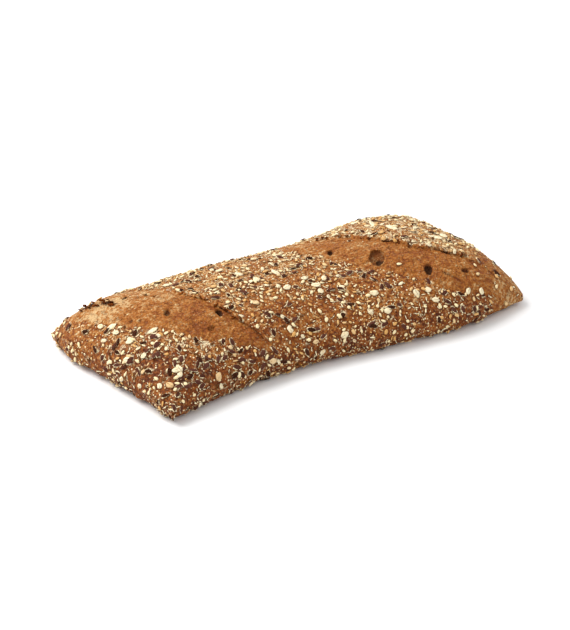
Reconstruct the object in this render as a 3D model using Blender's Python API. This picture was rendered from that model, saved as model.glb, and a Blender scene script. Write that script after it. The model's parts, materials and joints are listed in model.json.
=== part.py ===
"""A multigrain baguette of the short, flat, squared-off kind: one crusty loaf.

The loaf lies along X on the plane z = 0, with the middle of its outline over the origin.
+X is its right-hand end and +Y its far side. Its top is a low dome over a four-sided
outline whose corners are drawn out thin. Two slanting slashes opened in the oven, and each
left a bare, swollen patch under the raised lip of the seeded crust. Bubbles that burst are
pits in the patches. The largest seeds and flakes are fused to the crust.

The dome is worked out on a square, with s from -1 at the left end to 1 at the right end,
and t from -1 at the near side to 1 at the far side.
"""

import math
import random
from collections import namedtuple

import bmesh
import bpy
import numpy as np
from mathutils import Matrix, Vector, noise
from mathutils.bvhtree import BVHTree

MM = 0.001

# ---- The whole loaf ----
LENGTH = 270 * MM
WIDTH = 129 * MM
HEIGHT = 40 * MM

# ---- The outline: shares of half the width or half the length, at equally spaced stations ----
FRONT_SIDE = (1.0, 0.85, 0.82, 0.925, 1.0, 0.905)  # from the left end to the right end
BACK_SIDE = (0.99, 0.97, 0.955, 0.94, 1.035, 1.06)
LEFT_END = (0.91, 0.935, 0.967, 1.007, 1.008)  # from the near side to the far side
RIGHT_END = (1.0, 0.988, 0.967, 1.05)
# Each corner, named by the signs of s and t: how far it is rounded in, and how far its rim droops
CORNERS = {
    (-1, 1): (4.5 * MM, 4.2 * MM),
    (-1, -1): (0.5 * MM, 0.0 * MM),
    (1, -1): (3.5 * MM, 2.0 * MM),
    (1, 1): (7.5 * MM, 2.0 * MM),
}
CORNER_TIGHTNESS = 8

# ---- The dome over it ----
CROWN = (1.055, 0.955, 0.943, 0.934, 1.0, 0.997)  # shares of the height, from left to right
RIM_HEIGHT = 9.3 * MM  # where the loaf is widest
UNDERCUT = 8.6 * MM  # how far the foot of the side lies inside the rim
ALONG_SHAPE = (5.5, 0.565)  # fullness and steepness of the dome towards the ends
ACROSS_SHAPE = (2.2, 0.605)  # and towards the sides
LUMPS = ((0.9 * MM, 38 * MM), (0.35 * MM, 15 * MM))  # height and breadth of the uneven swelling

# ---- The slashes ----
# lip and foot: how far the patch's far and near edges lie from the straight line from start
# to end, at equally spaced stations. step: how high the lip stands over the patch there.
Slash = namedtuple("Slash", "start end lip foot step")
SLASHES = (
    Slash(
        start=(-125 * MM, 46 * MM),
        end=(-45 * MM, -50 * MM),
        lip=(8 * MM, 20 * MM, 20 * MM, 16 * MM, 10.5 * MM, 4 * MM, 1 * MM),
        foot=(-5 * MM, -14 * MM, -21.5 * MM, -22.5 * MM, -21 * MM, -12.5 * MM, -0.5 * MM),
        step=(1.2 * MM, 1.2 * MM, 1.0 * MM, 1.0 * MM, 2.2 * MM, 2.8 * MM, 1.6 * MM),
    ),
    Slash(
        start=(12 * MM, 28 * MM),
        end=(112 * MM, -52 * MM),
        lip=(12 * MM, 19.5 * MM, 17.5 * MM, 11.5 * MM, 7.5 * MM, 8 * MM, 5 * MM),
        foot=(-3 * MM, -11 * MM, -19.5 * MM, -22 * MM, -23.5 * MM, -21.5 * MM, -9 * MM),
        step=(1.2 * MM, 1.6 * MM, 2.2 * MM, 2.6 * MM, 2.8 * MM, 2.6 * MM, 1.4 * MM),
    ),
)
RIM_SHARE = 0.45  # how much of the step rises above the dome; the rest sinks below it
RIM_REACH = 7 * MM
DIP_REACH = 9 * MM
STEP_WIDTH = 1.0 * MM
PATCH_SWELL = 1.0 * MM
GATHER_REACH = 8 * MM  # rows of the mesh this near a lip are drawn towards it
GATHER_POWER = 2.2

# ---- Where the crust tore: from start to end its far side stands this high, ragged at the edge ----
Tear = namedtuple("Tear", "start end height")
TEARS = (Tear((-120 * MM, 42 * MM), (-108 * MM, 22 * MM), 2.6 * MM),)
TEAR_WIDTH = 1.2 * MM
TEAR_REACH = 4 * MM

# ---- Burst bubbles: place, length, width, turn in degrees and depth ----
Pit = namedtuple("Pit", "x y length width turn depth")
PITS = (
    Pit(49.6 * MM, -15.6 * MM, 16.0 * MM, 8.6 * MM, 55, 3.2 * MM),
    Pit(71.4 * MM, -38.0 * MM, 8.5 * MM, 4.6 * MM, 55, 3.0 * MM),
    Pit(29.8 * MM, 4.8 * MM, 6.4 * MM, 3.2 * MM, 56, 2.8 * MM),
    Pit(-64.3 * MM, -20.2 * MM, 8.0 * MM, 3.8 * MM, 70, 3.0 * MM),
    Pit(-91.2 * MM, -7.5 * MM, 6.6 * MM, 3.6 * MM, 50, 2.4 * MM),
    Pit(-75.9 * MM, -30.1 * MM, 4.2 * MM, 3.2 * MM, 10, 2.0 * MM),
    Pit(93.5 * MM, -45.3 * MM, 5.2 * MM, 3.2 * MM, 0, 2.2 * MM),
)

# ---- Seeds and flakes fused to the crust ----
Kind = namedtuple("Kind", "share length width thickness sides rings")
KINDS = {
    "linseed": Kind(0.50, 4.8 * MM, 2.5 * MM, 1.6 * MM, 5, 3),
    "oat_flake": Kind(0.25, 5.6 * MM, 4.4 * MM, 1.4 * MM, 6, 3),
    "sesame": Kind(0.25, 3.6 * MM, 2.4 * MM, 1.6 * MM, 5, 3),
}
TOPPING_GAP = 11.2 * MM  # the least distance between two of them
TOPPING_TRIES = 2600
TOPPING_SEED = 23
TOPPING_LIFT = 0.3  # how far the middle stands above the crust, in shares of the thickness
TOPPING_TILT = 10  # the most that one leans, in degrees
PATCH_MARGIN = 2.5 * MM  # seeds keep this clear of a bare patch

# ---- How finely the solid is made ----
CELLS_ALONG = 60
CELLS_ACROSS = 28
UNDERCUT_STEPS = 3
EVENNESS = 0.3  # 0 crowds the rows towards the rim, 1 spaces them evenly


def through(values, u):
    """The smooth curve through equally spaced values, read at u from -1 to 1."""
    known = np.asarray(values, float)
    last = len(known) - 1
    place = np.clip((u + 1) / 2 * last, 0, last - 1e-9)
    i = place.astype(int)
    f = place - i
    known = np.concatenate([[2 * known[0] - known[1]], known, [2 * known[-1] - known[-2]]])
    a, b, c, d = known[i], known[i + 1], known[i + 2], known[i + 3]
    return b + 0.5 * f * (c - a + f * (2 * a - 5 * b + 4 * c - d + f * (3 * (b - c) + d - a)))


def ease(low, high, value):
    """0 below low, 1 above high, and a smooth rise between them."""
    share = np.clip((value - low) / (high - low), 0, 1)
    return share * share * (3 - 2 * share)


def corner_nearness(s, t, corner):
    """1 at a corner of the square, falling quickly to 0 away from it."""
    return ((1 + corner[0] * s) / 2 * (1 + corner[1] * t) / 2) ** CORNER_TIGHTNESS


def plan_point(s, t):
    """Where a point of the square lies on the loaf's plan."""
    x = LENGTH / 2 * ((1 + s) / 2 * through(RIGHT_END, t) - (1 - s) / 2 * through(LEFT_END, t))
    y = WIDTH / 2 * ((1 + t) / 2 * through(BACK_SIDE, s) - (1 - t) / 2 * through(FRONT_SIDE, s))
    for corner, (rounding, _) in CORNERS.items():
        near = corner_nearness(s, t, corner)
        x = x - corner[0] * rounding * near
        y = y - corner[1] * rounding * near
    return x, y


def rim_height(s, t):
    """The height at which the loaf is widest: lower at the drawn-out corners."""
    height = RIM_HEIGHT + 0 * s
    for corner, (_, droop) in CORNERS.items():
        height = height - droop * corner_nearness(s, t, corner)
    return height


def dome_height(s, t):
    """The height of the smooth dome, without slashes or lumps."""
    full_along, steep_along = ALONG_SHAPE
    full_across, steep_across = ACROSS_SHAPE
    along = np.clip(1 - np.abs(s) ** full_along, 0, 1) ** steep_along
    across = np.clip(1 - np.abs(t) ** full_across, 0, 1) ** steep_across
    rim = rim_height(s, t)
    return rim + (HEIGHT * through(CROWN, s) - rim) * along * across


def slash_place(slash, x, y):
    """Where a point lies by a slash: its share of the way along, and its offset to the far side."""
    run = np.subtract(slash.end, slash.start)
    length = math.hypot(*run)
    ahead = run / length
    dx = x - slash.start[0]
    dy = y - slash.start[1]
    return (dx * ahead[0] + dy * ahead[1]) / length, dy * ahead[0] - dx * ahead[1]


def slash_relief(slash, x, y):
    """What a slash adds to the height: a lip, a dip in front of it, and a swollen patch."""
    along, offset = slash_place(slash, x, y)
    u = 2 * along - 1
    past_lip = offset - through(slash.lip, u)
    breadth = through(slash.lip, u) - through(slash.foot, u)
    in_patch = np.clip(1 + past_lip / breadth, 0, 1)
    step = through(slash.step, u)
    rim = RIM_SHARE * step * np.exp(-np.maximum(past_lip, 0) / RIM_REACH)
    dip = (1 - RIM_SHARE) * step * np.exp(np.minimum(past_lip, 0) / DIP_REACH)
    beyond = ease(-STEP_WIDTH / 2, STEP_WIDTH / 2, past_lip)
    swell = PATCH_SWELL * np.sin(math.pi * in_patch)
    ends = ease(-0.03, 0.1, along) * ease(1.03, 0.9, along)
    return ends * (beyond * rim - (1 - beyond) * dip + swell)


def tear_relief(tear, x, y):
    """What a torn edge adds to the height: a step up that falls away behind it."""
    along, offset = slash_place(tear, x, y)
    edge = ease(-TEAR_WIDTH / 2, TEAR_WIDTH / 2, offset) * np.exp(-np.maximum(offset, 0) / TEAR_REACH)
    return tear.height * edge * ease(-0.1, 0.3, along) * ease(1.1, 0.7, along)


def lumps(x, y):
    """The uneven swelling of the whole crust."""
    height = np.zeros(np.shape(x))
    for place in np.ndindex(height.shape):
        for amount, breadth in LUMPS:
            spot = Vector((x[place] / breadth, y[place] / breadth, 0.37))
            height[place] += amount * noise.noise(spot)
    return height


def inland(s, t):
    """1 over most of the loaf, and 0 at its rim, where nothing may shift it."""
    return (1 - np.abs(s) ** 10) * (1 - np.abs(t) ** 10)


def relief(x, y):
    """All that stands above or sinks below the smooth dome."""
    slashes = sum(slash_relief(slash, x, y) for slash in SLASHES)
    return lumps(x, y) + slashes + sum(tear_relief(tear, x, y) for tear in TEARS)


def top_point(s, t):
    """A point of the crust's upper side: x, y and z."""
    x, y = plan_point(s, t)
    return x, y, dome_height(s, t) + inland(s, t) * relief(x, y)


def gather(x, y, share):
    """Draw the mesh's rows towards the lips, so that a coarse mesh holds a steep step."""
    for slash in SLASHES:
        along, offset = slash_place(slash, x, y)
        past_lip = offset - through(slash.lip, 2 * along - 1)
        far = np.clip(np.abs(past_lip) / GATHER_REACH, 0, 1)
        drawn = np.sign(past_lip) * GATHER_REACH * far**GATHER_POWER - np.clip(
            past_lip, -GATHER_REACH, GATHER_REACH
        )
        drawn = drawn * share * ease(0, 0.1, along) * ease(1, 0.9, along)
        run = np.subtract(slash.end, slash.start)
        ahead = run / math.hypot(*run)
        x = x - ahead[1] * drawn
        y = y + ahead[0] * drawn
    return x, y


def spaced(count):
    """Stations from -1 to 1, closer together towards the rim, where the dome is steep."""
    even = np.linspace(-1, 1, count + 1)
    return EVENNESS * even + (1 - EVENNESS) * np.sin(even * math.pi / 2)


def crust_mesh():
    """The closed form of the loaf: the dome, the side that rolls under, and the flat base."""
    s, t = np.meshgrid(spaced(CELLS_ALONG), spaced(CELLS_ACROSS), indexing="ij")
    x, y = plan_point(s, t)
    free = inland(s, t)
    moved_x, moved_y = gather(x, y, free)
    # The rows move on the dome: its height is read where they went
    moved_s = s + (moved_x - x) / (np.gradient(x, axis=0) / np.gradient(s, axis=0))
    moved_t = t + (moved_y - y) / (np.gradient(y, axis=1) / np.gradient(t, axis=1))
    z = dome_height(np.clip(moved_s, -1, 1), np.clip(moved_t, -1, 1))
    z = z + free * relief(moved_x, moved_y)

    bm = bmesh.new()
    grid = [
        [bm.verts.new((moved_x[i, j], moved_y[i, j], z[i, j])) for j in range(CELLS_ACROSS + 1)]
        for i in range(CELLS_ALONG + 1)
    ]
    for i in range(CELLS_ALONG):
        for j in range(CELLS_ACROSS):
            bm.faces.new((grid[i][j], grid[i + 1][j], grid[i + 1][j + 1], grid[i][j + 1]))

    around = [(i, 0) for i in range(CELLS_ALONG)]
    around += [(CELLS_ALONG, j) for j in range(CELLS_ACROSS)]
    around += [(i, CELLS_ACROSS) for i in range(CELLS_ALONG, 0, -1)]
    around += [(0, j) for j in range(CELLS_ACROSS, 0, -1)]
    upper = [grid[i][j] for i, j in around]
    rim_s = np.array([s[i, j] for i, j in around])
    rim_t = np.array([t[i, j] for i, j in around])
    for step in range(1, UNDERCUT_STEPS + 1):
        turn = math.pi / 2 * step / UNDERCUT_STEPS
        inset = UNDERCUT * (1 - math.cos(turn))
        ring_x, ring_y = plan_point(
            rim_s * (1 - 2 * inset / LENGTH), rim_t * (1 - 2 * inset / WIDTH)
        )
        ring_z = rim_height(rim_s, rim_t) * (1 - math.sin(turn))
        lower = [bm.verts.new(point) for point in zip(ring_x, ring_y, ring_z)]
        for k in range(len(around)):
            after = (k + 1) % len(around)
            bm.faces.new((upper[after], upper[k], lower[k], lower[after]))
        upper = lower
    for vertex in upper:
        vertex.co.z = 0
    base = bm.faces.new(list(reversed(upper)))
    bmesh.ops.triangulate(bm, faces=[base])
    bmesh.ops.triangulate(bm, faces=bm.faces[:])
    bmesh.ops.recalc_face_normals(bm, faces=bm.faces[:])
    mesh = bpy.data.meshes.new("loaf")
    bm.to_mesh(mesh)
    bm.free()
    return mesh


def material(name, colour, roughness):
    made = bpy.data.materials.new(name)
    made.use_nodes = True
    shader = made.node_tree.nodes["Principled BSDF"]
    shader.inputs["Base Color"].default_value = (*colour, 1)
    shader.inputs["Roughness"].default_value = roughness
    shader.inputs["Metallic"].default_value = 0
    return made


def place_on_crust(s, t):
    """A point of the crust, and the way it faces, as vectors."""
    small = 0.004
    s = np.array([s, min(s + small, 1), max(s - small, -1), s, s])
    t = np.array([t, t, t, min(t + small, 1), max(t - small, -1)])
    points = [Vector(point) for point in zip(*top_point(s, t))]
    facing = (points[1] - points[2]).cross(points[3] - points[4]).normalized()
    return points[0], facing


def is_bare(x, y):
    """Whether a spot lies in a patch that a slash left bare, or close to one."""
    for slash in SLASHES:
        along, offset = slash_place(slash, x, y)
        u = np.array(2 * along - 1)
        low = through(slash.foot, u) - PATCH_MARGIN
        high = through(slash.lip, u) + PATCH_MARGIN
        if -0.03 < along < 1.03 and low < offset < high:
            return True
    return False


def topping_places():
    """Spots for the largest seeds and flakes: evenly spread over the seeded crust.

    Each is a kind, a point, the way the crust faces there, a turn, a lean and a size.
    """
    draw = random.Random(TOPPING_SEED)
    placed = []
    for _ in range(TOPPING_TRIES):
        s = draw.uniform(-0.99, 0.99)
        t = draw.uniform(-0.995, 0.995)
        kind = draw.choices(list(KINDS), [each.share for each in KINDS.values()])[0]
        turn = draw.uniform(0, 2 * math.pi)
        size = draw.uniform(0.85, 1.15)
        lean = math.radians(draw.uniform(-TOPPING_TILT, TOPPING_TILT))
        point, facing = place_on_crust(s, t)
        if is_bare(point.x, point.y):
            continue
        if all((point - other[1]).length > TOPPING_GAP for other in placed):
            placed.append((kind, point, facing, turn, lean, size))
    return placed


def topping_mesh(name, kind):
    """A seed or flake about the origin, flat in Z and long in X, with few sides."""
    bm = bmesh.new()
    bmesh.ops.create_uvsphere(bm, u_segments=kind.sides, v_segments=kind.rings, radius=0.5)
    bmesh.ops.scale(bm, vec=(kind.length, kind.width, kind.thickness), verts=bm.verts[:])
    mesh = bpy.data.meshes.new(name)
    bm.to_mesh(mesh)
    bm.free()
    return mesh


def add_to(collection, name, mesh, matrix):
    thing = bpy.data.objects.new(name, mesh)
    thing.matrix_world = matrix
    collection.objects.link(thing)
    return thing


def standing_on(point, facing, turn, lean=0.0):
    """The matrix that sets a piece on the crust, turned about the way the crust faces."""
    upright = facing.to_track_quat("Z", "Y").to_matrix().to_4x4()
    turned = Matrix.Rotation(turn, 4, "Z") @ Matrix.Rotation(lean, 4, "Y")
    return Matrix.Translation(point) @ upright @ turned


def apply_boolean(loaf, collection, operation):
    """Cut or join every object of a collection, then remove them."""
    boolean = loaf.modifiers.new(operation.lower(), "BOOLEAN")
    boolean.operation = operation
    boolean.operand_type = "COLLECTION"
    boolean.collection = collection
    boolean.solver = "EXACT"
    shaped = bpy.data.meshes.new_from_object(
        loaf.evaluated_get(bpy.context.evaluated_depsgraph_get())
    )
    loaf.modifiers.clear()
    loaf.data = shaped
    for thing in list(collection.objects):
        bpy.data.objects.remove(thing)
    bpy.data.collections.remove(collection)


def new_collection(name):
    collection = bpy.data.collections.new(name)
    bpy.context.scene.collection.children.link(collection)
    return collection


def cut_pits(loaf):
    """Open the burst bubbles, each an egg-shaped hollow set steeply into the crust."""
    collection = new_collection("bubbles")
    tree = loaf_tree(loaf)
    for k, pit in enumerate(PITS):
        point, facing = drop_on(tree, pit.x, pit.y)
        mesh = bpy.data.meshes.new(f"bubble_{k}")
        bm = bmesh.new()
        bmesh.ops.create_uvsphere(bm, u_segments=8, v_segments=5, radius=0.5)
        bmesh.ops.scale(bm, vec=(pit.length, pit.width, 2 * pit.depth), verts=bm.verts[:])
        bm.to_mesh(mesh)
        bm.free()
        add_to(collection, mesh.name, mesh, standing_on(point, facing, math.radians(pit.turn)))
    apply_boolean(loaf, collection, "DIFFERENCE")


def loaf_tree(loaf):
    bm = bmesh.new()
    bm.from_mesh(loaf.data)
    tree = BVHTree.FromBMesh(bm)
    bm.free()
    return tree


def drop_on(tree, x, y):
    """The point of the crust under a spot of the plan, and the way it faces."""
    point, facing, _, _ = tree.ray_cast(Vector((x, y, 2 * HEIGHT)), Vector((0, 0, -1)))
    return point, facing


def fuse_toppings(loaf):
    """Join the largest seeds and flakes to the crust, half sunk in it."""
    collection = new_collection("toppings")
    meshes = {name: topping_mesh(name, kind) for name, kind in KINDS.items()}
    tree = loaf_tree(loaf)
    for k, (name, point, facing, turn, lean, size) in enumerate(topping_places()):
        on_crust, _, _, _ = tree.find_nearest(point)
        raised = on_crust + facing * (KINDS[name].thickness * TOPPING_LIFT)
        matrix = standing_on(raised, facing, turn, lean) @ Matrix.Scale(size, 4)
        add_to(collection, f"{name}_{k}", meshes[name], matrix)
    apply_boolean(loaf, collection, "UNION")


def main():
    for thing in list(bpy.data.objects):
        bpy.data.objects.remove(thing)
    loaf = bpy.data.objects.new("loaf", crust_mesh())
    bpy.context.scene.collection.objects.link(loaf)
    cut_pits(loaf)
    fuse_toppings(loaf)
    loaf.data.name = "loaf"
    loaf.data.materials.clear()
    loaf.data.materials.append(material("baked crust", (0.41, 0.2, 0.08), 0.75))
    loaf.data.shade_smooth()
    loaf.data.set_sharp_from_angle(angle=math.radians(40))


main()
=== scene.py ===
"""The looks of a multigrain baguette of the short, flat, squared-off kind.

It is laid out as a Blender add-on and run as a script. The loaf lies along X on the plane
z = 0, +X to its right-hand end and +Y to its far side. Its form is worked out as in the solid:
a low dome over a four-sided outline, given on a square with s from -1 at the left end to 1 at
the right end, and t from -1 at the near side to 1 at the far side. Two slanting slashes opened
in the oven. Each left a bare, swollen patch under the raised lip of the seeded crust.
"""

import json
import math
import random
from collections import namedtuple

import bmesh
import bpy
import numpy as np
from mathutils import Matrix, Vector, noise
from mathutils.bvhtree import BVHTree
from mathutils.kdtree import KDTree

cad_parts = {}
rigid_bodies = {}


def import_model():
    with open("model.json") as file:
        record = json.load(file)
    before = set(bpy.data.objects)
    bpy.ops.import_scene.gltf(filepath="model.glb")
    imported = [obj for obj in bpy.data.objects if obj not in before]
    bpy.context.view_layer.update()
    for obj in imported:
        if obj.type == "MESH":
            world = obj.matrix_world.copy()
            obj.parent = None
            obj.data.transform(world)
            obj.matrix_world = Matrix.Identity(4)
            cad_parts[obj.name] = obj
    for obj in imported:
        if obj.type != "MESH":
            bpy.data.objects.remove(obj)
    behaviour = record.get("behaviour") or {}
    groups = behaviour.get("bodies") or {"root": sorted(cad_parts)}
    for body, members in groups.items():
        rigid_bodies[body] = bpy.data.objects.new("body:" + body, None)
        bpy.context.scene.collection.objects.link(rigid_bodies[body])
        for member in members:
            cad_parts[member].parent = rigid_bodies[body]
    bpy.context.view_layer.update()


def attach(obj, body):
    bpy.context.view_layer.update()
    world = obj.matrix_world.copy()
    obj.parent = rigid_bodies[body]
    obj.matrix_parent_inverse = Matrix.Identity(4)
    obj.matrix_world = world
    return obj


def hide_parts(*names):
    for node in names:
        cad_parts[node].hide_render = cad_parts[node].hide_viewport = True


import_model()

bl_info = {
    "name": "Seeded loaf",
    "version": (1, 0, 0),
    "blender": (4, 5, 0),
    "location": "View3D > Sidebar > Loaf",
    "description": "Makes a seeded multigrain loaf with two slashes, and the stage it lies on",
    "category": "Object",
}

MM = 0.001
BODY = "root"
NODE = "loaf"


def mm(*lengths):
    """Lengths given in millimetres, in metres."""
    return tuple(length * MM for length in lengths)


# ---- The whole loaf ----
LENGTH = 270 * MM
WIDTH = 129 * MM
HEIGHT = 40 * MM

# ---- The outline: shares of half the width or half the length, at equally spaced stations ----
FRONT_SIDE = (1.0, 0.85, 0.82, 0.925, 1.0, 0.905)  # from the left end to the right end
BACK_SIDE = (0.99, 0.97, 0.955, 0.94, 1.035, 1.06)
LEFT_END = (0.91, 0.935, 0.967, 1.007, 1.008)  # from the near side to the far side
RIGHT_END = (1.0, 0.988, 0.967, 1.05)
# Each corner, named by the signs of s and t: how far it is rounded in, and how far its rim droops
CORNERS = {
    (-1, 1): mm(4.5, 4.2),
    (-1, -1): mm(0.5, 0.0),
    (1, -1): mm(3.5, 2.0),
    (1, 1): mm(7.5, 2.0),
}
CORNER_TIGHTNESS = 8

# ---- The dome over it ----
CROWN = (1.055, 0.955, 0.943, 0.934, 1.0, 0.997)  # shares of the height, from left to right
RIM_HEIGHT = 9.3 * MM  # where the loaf is widest
UNDERCUT = 8.6 * MM  # how far the foot of the side lies inside the rim
ALONG_SHAPE = (5.5, 0.565)  # fullness and steepness of the dome towards the ends
ACROSS_SHAPE = (2.2, 0.605)  # and towards the sides

# ---- Unevenness. A row is a height or a share of one, a breadth, and which pattern of noise ----
SWELLING = ((0.9 * MM, 38 * MM, 0.37), (0.35 * MM, 15 * MM, 0.37))
GRAIN = ((1.0, 3.2 * MM, 5.3), (0.55, 1.5 * MM, 8.8))  # the small lumps between the seeds
PATCH_GRAIN = (0.4 * MM, 9 * MM, 11.9)  # broader ones on a bare patch
PATCH_CALM = 0.2  # how much lower the small ones are there
SIDE_LUMPS = ((1.0, 6 * MM, 6.6), (0.5, 1.8 * MM, 3.3))  # on the undercut side
LIP_STRAY = ((0.4, 12 * MM, 0.9), (0.4, 4.5 * MM, 1.7), (0.25, 1.9 * MM, 3.1))
TEAR_STRAY = ((1.0, 4 * MM, 14.2), (0.7, 1.7 * MM, 15.1))
ZONE_STRAY = ((1.3 * MM, 7 * MM, 2.3), (0.7 * MM, 2.2 * MM, 4.9))
# Where something comes and goes along an edge: a breadth, and which pattern
LOOSE_STRETCHES = (8 * MM, 6.1)  # where a lip hangs over
SCORCH_AND_SHADOW_SPOTS = (6 * MM, 9.4)
TATTER_STRETCHES = (9 * MM, 12.7)
TEAR_STRETCHES = (3.2 * MM, 16.2)

# ---- The slashes ----
# lip and foot: how far the patch's far and near edges lie from the straight line from start
# to end, at equally spaced stations. step: how high the lip stands over the patch there.
Slash = namedtuple("Slash", "start end lip foot step")
SLASHES = (
    Slash(
        start=mm(-125, 46),
        end=mm(-45, -50),
        lip=mm(8, 20, 20, 16, 10.5, 4, 1),
        foot=mm(-5, -14, -21.5, -22.5, -21, -12.5, -0.5),
        step=mm(1.2, 1.2, 1.0, 1.0, 2.2, 2.8, 1.6),
    ),
    Slash(
        start=mm(12, 28),
        end=mm(112, -52),
        lip=mm(12, 19.5, 17.5, 11.5, 7.5, 8, 5),
        foot=mm(-3, -11, -19.5, -22, -23.5, -21.5, -9),
        step=mm(1.2, 1.6, 2.2, 2.6, 2.8, 2.6, 1.4),
    ),
)
RIM_SHARE = 0.45  # how much of the step rises above the dome; the rest sinks below it
RIM_REACH = 7 * MM
DIP_REACH = 9 * MM
STEP_WIDTH = 2.2 * MM
LIP_SHARE = 0.75  # the crust between the seeds steps less than the solid, which has them fused on
PATCH_SWELL = 1.0 * MM
GATHER_REACH = 6 * MM  # rows of the mesh this near a lip are drawn towards it
GATHER_POWER = 1.5
LIP_BREADTH = 0.7 * MM  # of its edge, scorched and painted with shadow
LIP_SCORCH_AND_SHADOW = 0.6  # how black it is at most
SLASH_FADE = ((-0.03, 0.1), (1.03, 0.9))  # how a slash runs out at its start and at its end

# ---- Where the crust tore: from start to end its far side stands this high, ragged at the edge ----
Tear = namedtuple("Tear", "start end height")
TEARS = (Tear(mm(-120, 42), mm(-108, 22), 2.6 * MM),)
SHARDS = 11  # torn scraps that stand along a tear
SHARD_LEAN = (12, 50)  # how far they lean back, in degrees
TEAR_WIDTH = 0.8 * MM
TEAR_REACH = 4 * MM
TEAR_RAGGED = 1.6 * MM
TORN_GAP = 2.4 * MM  # the least distance between scraps that hang on the lips

# ---- Burst bubbles: place, length and width in mm, turn in degrees, depth in mm, painted shade ----
Pit = namedtuple("Pit", "x y length width turn depth dark")
PIT_ROWS = (
    (49.6, -15.6, 16.0, 8.6, 55, 3.2, 0.42),
    (71.4, -38.0, 8.5, 4.6, 55, 3.0, 0.9),
    (29.8, 4.8, 6.4, 3.2, 56, 2.8, 1.0),
    (-64.3, -20.2, 8.0, 3.8, 70, 3.0, 1.0),
    (-91.2, -7.5, 6.6, 3.6, 50, 2.4, 0.5),
    (-75.9, -30.1, 4.2, 3.2, 10, 2.0, 0.3),
    (93.5, -45.3, 5.2, 3.2, 0, 2.2, 0.6),
    # Smaller ones, too fine for the solid
    (50.6, -17.2, 5.6, 4.0, 50, 1.2, 0.95),
    (-109.9, 1.1, 3.2, 1.8, 70, 1.1, 0.48),
    (-106.3, -2.9, 2.6, 1.6, 20, 0.9, 0.42),
    (-87.4, 13.6, 3.4, 1.6, 15, 1.1, 0.48),
    (-71.1, -22.4, 2.6, 1.8, 0, 1.0, 0.45),
    (36.5, 7.9, 2.4, 1.6, 30, 0.9, 0.42),
    (45.2, 17.2, 10.0, 1.3, -51, 0.9, 0.42),
    (82.4, -46.4, 11.0, 1.4, -43, 1.0, 0.45),
    (62.6, -11.0, 4.6, 2.6, 80, 0.9, 0.3),
    (113.0, -45.5, 7.5, 1.2, -65, 0.7, 0.36),
    # Torn spots along the lips
    (-100.2, 24.9, 5.4, 2.4, 35, 1.6, 0.8),
    (-95.0, 18.5, 2.4, 1.6, 60, 0.9, 0.42),
    (66.7, -1.2, 4.2, 1.8, -30, 1.2, 0.51),
    (77.1, -12.0, 6.4, 3.4, 55, 1.5, 0.5),
    (88.8, -23.4, 3.6, 1.8, -40, 1.3, 0.54),
    (92.8, -27.4, 5.4, 1.6, -45, 1.2, 0.51),
)
PITS = [
    Pit(*mm(x, y, length, width), turn, depth * MM, dark)
    for x, y, length, width, turn, depth, dark in PIT_ROWS
]
PIT_BULGE = 0.22  # how much wider a bubble is inside than at its mouth
PIT_COLLAR = 0.25 * MM  # the raised edge round its mouth
PIT_WOBBLE = (0.14, 2.6 * MM, 7.1)  # how uneven its mouth is, as a row of unevenness
# Soft hollows: place, breadth and depth
HOLLOWS = (mm(75.8, -14.6, 9, 1.1), mm(-83, -2, 16, 0.5))

# ---- Seeds and flakes that the solid holds too: their kind, share and size ----
Kind = namedtuple("Kind", "share length width thickness")
KINDS = {
    "linseed": Kind(0.50, *mm(4.8, 2.5, 1.6)),
    "oat_flake": Kind(0.25, *mm(5.6, 4.4, 1.4)),
    "sesame": Kind(0.25, *mm(3.6, 2.4, 1.6)),
}
TOPPING_GAP = 11.2 * MM  # the least distance between two of them
TOPPING_TRIES = 2600
TOPPING_SEED = 23
TOPPING_LIFT = 0.3  # how far the middle stands above the crust, in shares of half the thickness
TOPPING_TILT = 10  # the most that one leans, in degrees
PATCH_MARGIN = 2.5 * MM  # seeds keep this clear of a bare patch
FACING_NUDGE = 0.004  # how far apart on the square the points are that show which way it faces

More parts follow.
